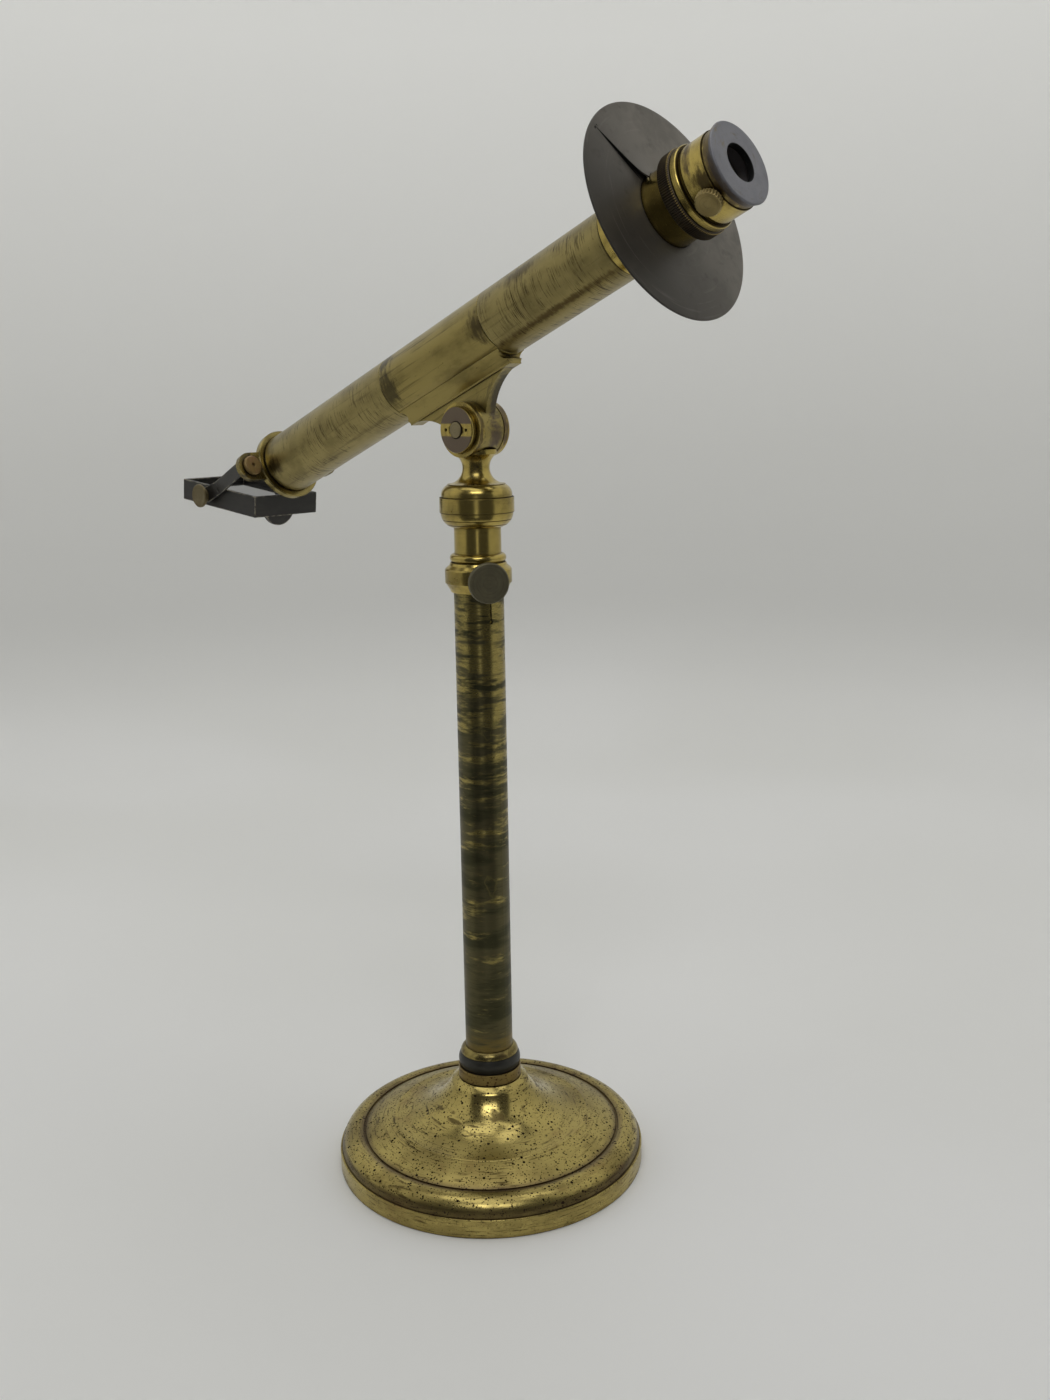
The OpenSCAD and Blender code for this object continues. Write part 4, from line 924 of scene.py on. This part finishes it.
class POLARISCOPE_OT_polariser(PieceOperator, bpy.types.Operator):
    """Bends the two straps, turns their screws and finishes the end ring"""

    bl_idname = "polariscope.polariser"
    bl_label = "Polariser"

    def execute(self, context):
        _, finish, ease = self.settings(context)
        paint = black_paint("Brass strap, bent and japanned black")
        for node, side in (("near_arm", -1), ("far_arm", 1)):
            made(context, self.strap(side), node, TUBE, paint)
        # The lugs are darkened to brown-grey
        lugs = [((0.5, side * 20.5, -113.5), (8, 5.6, 8), "#45403a") for side in (-1, 1)]
        brass = polished_brass(
            finish, "Brass, turned and lacquered, lower ring", TUBE, 0.6, 0.3, finish.lacquer, stains=lugs)
        finished(brass, "end_ring")
        rosy = dull_brass("Brass, turned, screw heads", TUBE, "#8a7448", "#946a55")
        head = [
            (0, -116.35), (1.6, -116.35), (1.6, -112.05), (3.8, -112.05, ease), (4.2, -111.65, ease),
            (4.2, -110.75, ease), (3.7, -110.25, 2 * ease), (0.95, -110.25, ease), (0.8, -110.6),
            (0.6, -111.15), (0, -111.2)]
        head_sides, lug = 64, 19.8
        bm = spun(head, head_sides, closed=False)
        bmesh.ops.translate(bm, verts=bm.verts, vec=(0, -lug, 0))
        twin = bmesh.ops.duplicate(bm, geom=whole(bm))["geom"]
        bmesh.ops.translate(bm, verts=vertices(twin), vec=(0, 2 * lug, 0))
        made(context, bm, "arm_screws", TUBE, rosy)
        return {"FINISHED"}

    def strap(self, side):
        """A bent strap from behind the lug to a round end on the mirror's pivot."""
        back, elbow, pivot, end = -114.65, -141.8, -151.8, -157.8
        root, shoulder, flank = 13.7, 24.6, 18.5
        thick, half_width, bend = 1.3, 3.0, 0.9
        # Radius of the round end, its least half breadth squared, and the pivot's rise over the tube's axis
        eye, tip, rise = 3.4, 0.02, 1.6
        plan = [(back, root), (back, shoulder, bend), (elbow, flank, bend), (end, flank)]
        plan += [(end, flank - thick), (elbow, flank - thick, bend)]
        plan += [(back - thick, shoulder - thick, bend), (back - thick, root)]
        bm = bmesh.new()
        face = bm.faces.new([bm.verts.new((-half_width, side * p.y, p.x)) for p in eased(plan, True)])
        raised(bm, [face], (2 * half_width, 0, 0))
        # Slices at the end follow the round of the pivot
        for slit_shadow in (0.3, 0.8, 1.5, 2.4, 3.5, 4.8, 6):
            bmesh.ops.bisect_plane(bm, geom=whole(bm), plane_co=(0, 0, end + slit_shadow), plane_no=(0, 0, 1))
        for vert in bm.verts:
            past = (pivot - vert.co.z) * eye / (pivot - end)
            if past > 0:
                vert.co.z = pivot - past
                vert.co.x *= math.sqrt(max(tip, eye ** 2 - past ** 2)) / half_width
            vert.co.x += rise * (vert.co.z - back) / (back - pivot)
        bmesh.ops.recalc_face_normals(bm, faces=bm.faces)
        softened(bm, 0.22)
        return bm


class POLARISCOPE_OT_mirror(PieceOperator, bpy.types.Operator):
    """Builds the mirror's tray with its finger tab, and finishes glass, packing and pivots"""

    bl_idname = "polariscope.mirror"
    bl_label = "Mirror"

    def execute(self, context):
        _, _, ease = self.settings(context)
        tray = black_paint("Brass tray, folded and japanned black")
        made(context, self.tray(), "mirror_frame", MIRROR, tray)
        finished(black_glass(), "mirror_glass")
        finished(cork("Cork sheet, cut", MIRROR), "mirror_bed")
        near = MIRROR @ placed((0, 0, 0), [(90, "X")])
        knob = [
            (0, 15), (1.5, 15), (1.5, 18.6), (3.3, 18.6, ease), (3.3, 19.6, ease), (2.1, 19.7), (2.1, 20.5),
            (4.7, 20.5, ease), (5.1, 20.9, ease), (5.1, 21.7, ease), (4.7, 22.1, ease), (4.3, 21.9), (0, 22)]
        knob_sides = 96
        worn = dull_brass("Brass, turned, thumbscrew", near, "#6f6344", "#7e7150")
        made(context, spun(knob, knob_sides, closed=False), "mirror_thumbscrew", near, worn)
        finished(dull_brass("Brass, turned, pivot screw", near), "far_pivot_screw")
        return {"FINISHED"}

    def tray(self):
        """A shallow tray with a half-round finger tab below its end wall."""
        middle, length, width, height = 7.7, 53.4, 33.8, 9.2
        wall, depth = 2.2, 8.0
        bm = bmesh.new()
        block = Matrix.Translation((middle, 0, 0)) @ Matrix.Diagonal((length, width, height, 1))
        bmesh.ops.create_cube(bm, size=1, matrix=block)
        lid = [f for f in bm.faces if f.normal.z > 0.9]
        bmesh.ops.inset_region(bm, faces=lid, thickness=wall)
        raised(bm, lid + lid[0].edges[:], (0, 0, -depth))
        softened(bm, 0.3)
        # The tab's circle reaches below the tray, and its straight side is sunk into the end wall
        radius, across, start, thick = 8.1, -3.4, 32.2, 2.2
        reach, sunk, steps = 4.2, 0.2, 24
        centre = radius - reach - height / 2
        spread = math.asin((height / 2 - sunk + centre) / radius)
        outline = []
        for i in range(steps + 1):
            turn = -math.pi / 2 + (2 * i / steps - 1) * (math.pi / 2 - spread)
            y, z = across + radius * math.cos(turn), centre + radius * math.sin(turn)
            outline.append(bm.verts.new((start, y, z)))
        front = raised(bm, [bm.faces.new(outline)], (thick, 0, 0))
        softened(bm, 0.25, outline + front)
        return bm


class POLARISCOPE_OT_inner_pieces(PieceOperator, bpy.types.Operator):
    """Finishes the couplings, field stops, packing and prism inside the tube"""

    bl_idname = "polariscope.inner_pieces"
    bl_label = "Inner pieces"

    def execute(self, context):
        dull = dull_brass("Brass, turned and left dull, couplings", TUBE)
        finished(dull, "lower_coupling", "upper_coupling")
        black = blackened_brass("Brass, turned and blackened, stops", TUBE, "#26241f", "#302e28", 0.6)
        finished(black, "field_stops")
        finished(cork("Cork, cut and bored", TUBE), "prism_cork")
        finished(calcite(), "nicol_front", "nicol_back")
        return {"FINISHED"}


class POLARISCOPE_OT_stage(bpy.types.Operator):
    """Sets up the paper tent, the soft lights and the camera"""

    bl_idname = "polariscope.stage"
    bl_label = "Stage"
    bl_options = {"REGISTER", "UNDO"}

    def execute(self, context):
        stage = context.scene.polariscope_stage
        # Bearing of the camera as seen from the part
        front = stage.azimuth - math.pi / 2
        self.tent(context, stage, front)
        self.lights(context, stage, front)
        self.view(context, stage)
        return {"FINISHED"}

    def tent(self, context, stage, front):
        """A pale floor with a coved paper wall round three sides, open to the camera."""
        apron, flat, cove, top = 0.25, 0.7, 0.25, 1.6
        wall = flat + cove
        section = [(0.0, 0.0), (apron, 0.0), (flat, 0.0)]
        section += [
            (flat + cove * math.sin(t), cove - cove * math.cos(t)) for t in (0.3, 0.6, 0.9, 1.2, 1.5708)]
        section += [(wall, top / 2), (wall, top)]
        opening = math.radians(56)
        bm = bmesh.new()
        # In front of the foot the table ends just out of view
        for line, start, sweep, steps in (
                (section, opening, 2 * math.pi - 2 * opening, 96), (section[:2], -opening, 2 * opening, 12)):
            turn = front + start
            verts = [bm.verts.new((r * math.cos(turn), r * math.sin(turn), z)) for r, z in line]
            edges = [bm.edges.new(pair) for pair in zip(verts, verts[1:])]
            bmesh.ops.spin(
                bm, geom=verts + edges, cent=(0, 0, 0), axis=(0, 0, 1), angle=sweep, steps=steps,
                use_merge=False, use_duplicate=False)
        tent = meshed(context, bm, "paper_tent", self.paper(stage))

    def paper(self, stage):
        """Matte seamless paper: an even pale grey, painted darker on the wall, where a glow of painted light
        rises towards the top.
        """
        paper = Surface("Paper, seamless, pale", UPRIGHT, "#f4f4f2", 0.9)
        paper.cloud(260, 0.3, 0.7, 1.0, "#f0f0ed", 0.9, 0.0)
        high = paper.add("SeparateXYZ", {0: paper.local})[2]
        # Painted shade: the wall is a darker grey than the floor
        paper.lay(paper.fading(high, 0.0, 0.12), "#dadad7", 0.9)
        # Painted light: the wall glows, more towards the top
        glow = paper.add("MapRange", {
            "Value": high, "From Min": 0.05, "From Max": 0.65, "To Max": stage.tent_glow})[0]
        return paper.done(metallic=0.0, **{
            "Specular IOR Level": 0.1, "Emission Color": linear("#f2f2ee"), "Emission Strength": glow})

    def lights(self, context, stage, front):
        """A soft key above the camera, a broad light overhead, a low strip, and a dim room round them."""
        aim = Vector((0, 0, 0.2))
        # Name, distance to the front and height, width and depth in metres, and power
        spots = (
            ("key_light", 1.0, 1.25, 0.75, 0.45, stage.key_power),
            ("top_light", 0.0, 1.7, 1.3, 1.3, stage.top_power),
            ("strip_light", 1.5, 0.1, 0.2, 1.2, stage.strip_power))
        for name, away, high, width, depth, power in spots:
            data = bpy.data.lights.new(name, "AREA")
            data.shape = "RECTANGLE"
            data.size = width
            data.size_y = depth
            data.energy = power
            lamp = linked(context, name, data)
            lamp.location = (away * math.cos(front), away * math.sin(front), high)
            lamp.rotation_euler = (aim - lamp.location).to_track_quat("-Z", "Y").to_euler()
        world = bpy.data.worlds.new("Studio")
        context.scene.world = world
        room = Nodes(world)
        # The camera meets pale paper everywhere; other rays meet the dim room
        eye = room.add("LightPath", {})["Is Camera Ray"]
        tones = {0: eye, 6: linear("#4a4a4c"), 7: linear("#c1c1bd")}
        colour = room.add("Mix", tones, data_type="RGBA")[2]
        back = room.add("Background", {"Color": colour, "Strength": 1.0})
        room.add("OutputWorld", {"Surface": back[0]})

    def view(self, context, stage):
        """The camera at the photo's place and angle."""
        data = bpy.data.cameras.new("camera")
        data.sensor_width = 36
        data.lens = stage.lens
        data.clip_start = 0.01
        camera = linked(context, "camera", data)
        turns = [(math.degrees(stage.azimuth), "Z"), (90 - math.degrees(stage.pitch), "X")]
        camera.matrix_world = placed(stage.camera, turns + [(math.degrees(stage.roll), "Z")])
        context.scene.camera = camera
        context.scene.view_settings.view_transform = "Standard"


OPERATORS = (
    POLARISCOPE_OT_foot, POLARISCOPE_OT_pillar, POLARISCOPE_OT_clamp_screw, POLARISCOPE_OT_riser,
    POLARISCOPE_OT_compass_joint, POLARISCOPE_OT_tube, POLARISCOPE_OT_eye_shade, POLARISCOPE_OT_eyepiece,
    POLARISCOPE_OT_polariser, POLARISCOPE_OT_mirror, POLARISCOPE_OT_inner_pieces, POLARISCOPE_OT_stage)


class POLARISCOPE_PT_panel(bpy.types.Panel):
    """Lists the pieces and their settings"""

    bl_label = "Polariscope"
    bl_idname = "POLARISCOPE_PT_panel"
    bl_space_type = "VIEW_3D"
    bl_region_type = "UI"
    bl_category = "Polariscope"

    def draw(self, context):
        for operator in OPERATORS:
            self.layout.operator(operator.bl_idname)
        for group in ("sizes", "finish", "stage"):
            box = self.layout.box()
            box.label(text=group.capitalize())
            settings = getattr(context.scene, "polariscope_" + group)
            for name in settings.bl_rna.properties.keys():
                if name not in ("rna_type", "name"):
                    box.prop(settings, name)


GROUPS = {
    "polariscope_sizes": PolariscopeSizes, "polariscope_finish": PolariscopeFinish,
    "polariscope_stage": PolariscopeStage}


def register():
    for group in GROUPS.values():
        bpy.utils.register_class(group)
    for name, group in GROUPS.items():
        setattr(bpy.types.Scene, name, PointerProperty(type=group))
    for operator in OPERATORS:
        bpy.utils.register_class(operator)
    bpy.utils.register_class(POLARISCOPE_PT_panel)


def unregister():
    bpy.utils.unregister_class(POLARISCOPE_PT_panel)
    for operator in reversed(OPERATORS):
        bpy.utils.unregister_class(operator)
    for name, group in GROUPS.items():
        delattr(bpy.types.Scene, name)
        bpy.utils.unregister_class(group)


def main():
    register()
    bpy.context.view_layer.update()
    bpy.ops.polariscope.foot()
    bpy.ops.polariscope.pillar()
    bpy.ops.polariscope.clamp_screw()
    bpy.ops.polariscope.riser()
    bpy.ops.polariscope.compass_joint()
    bpy.ops.polariscope.tube()
    bpy.ops.polariscope.eye_shade()
    bpy.ops.polariscope.eyepiece()
    bpy.ops.polariscope.polariser()
    bpy.ops.polariscope.mirror()
    bpy.ops.polariscope.inner_pieces()
    bpy.ops.polariscope.stage()


if __name__ == "__main__":
    main()
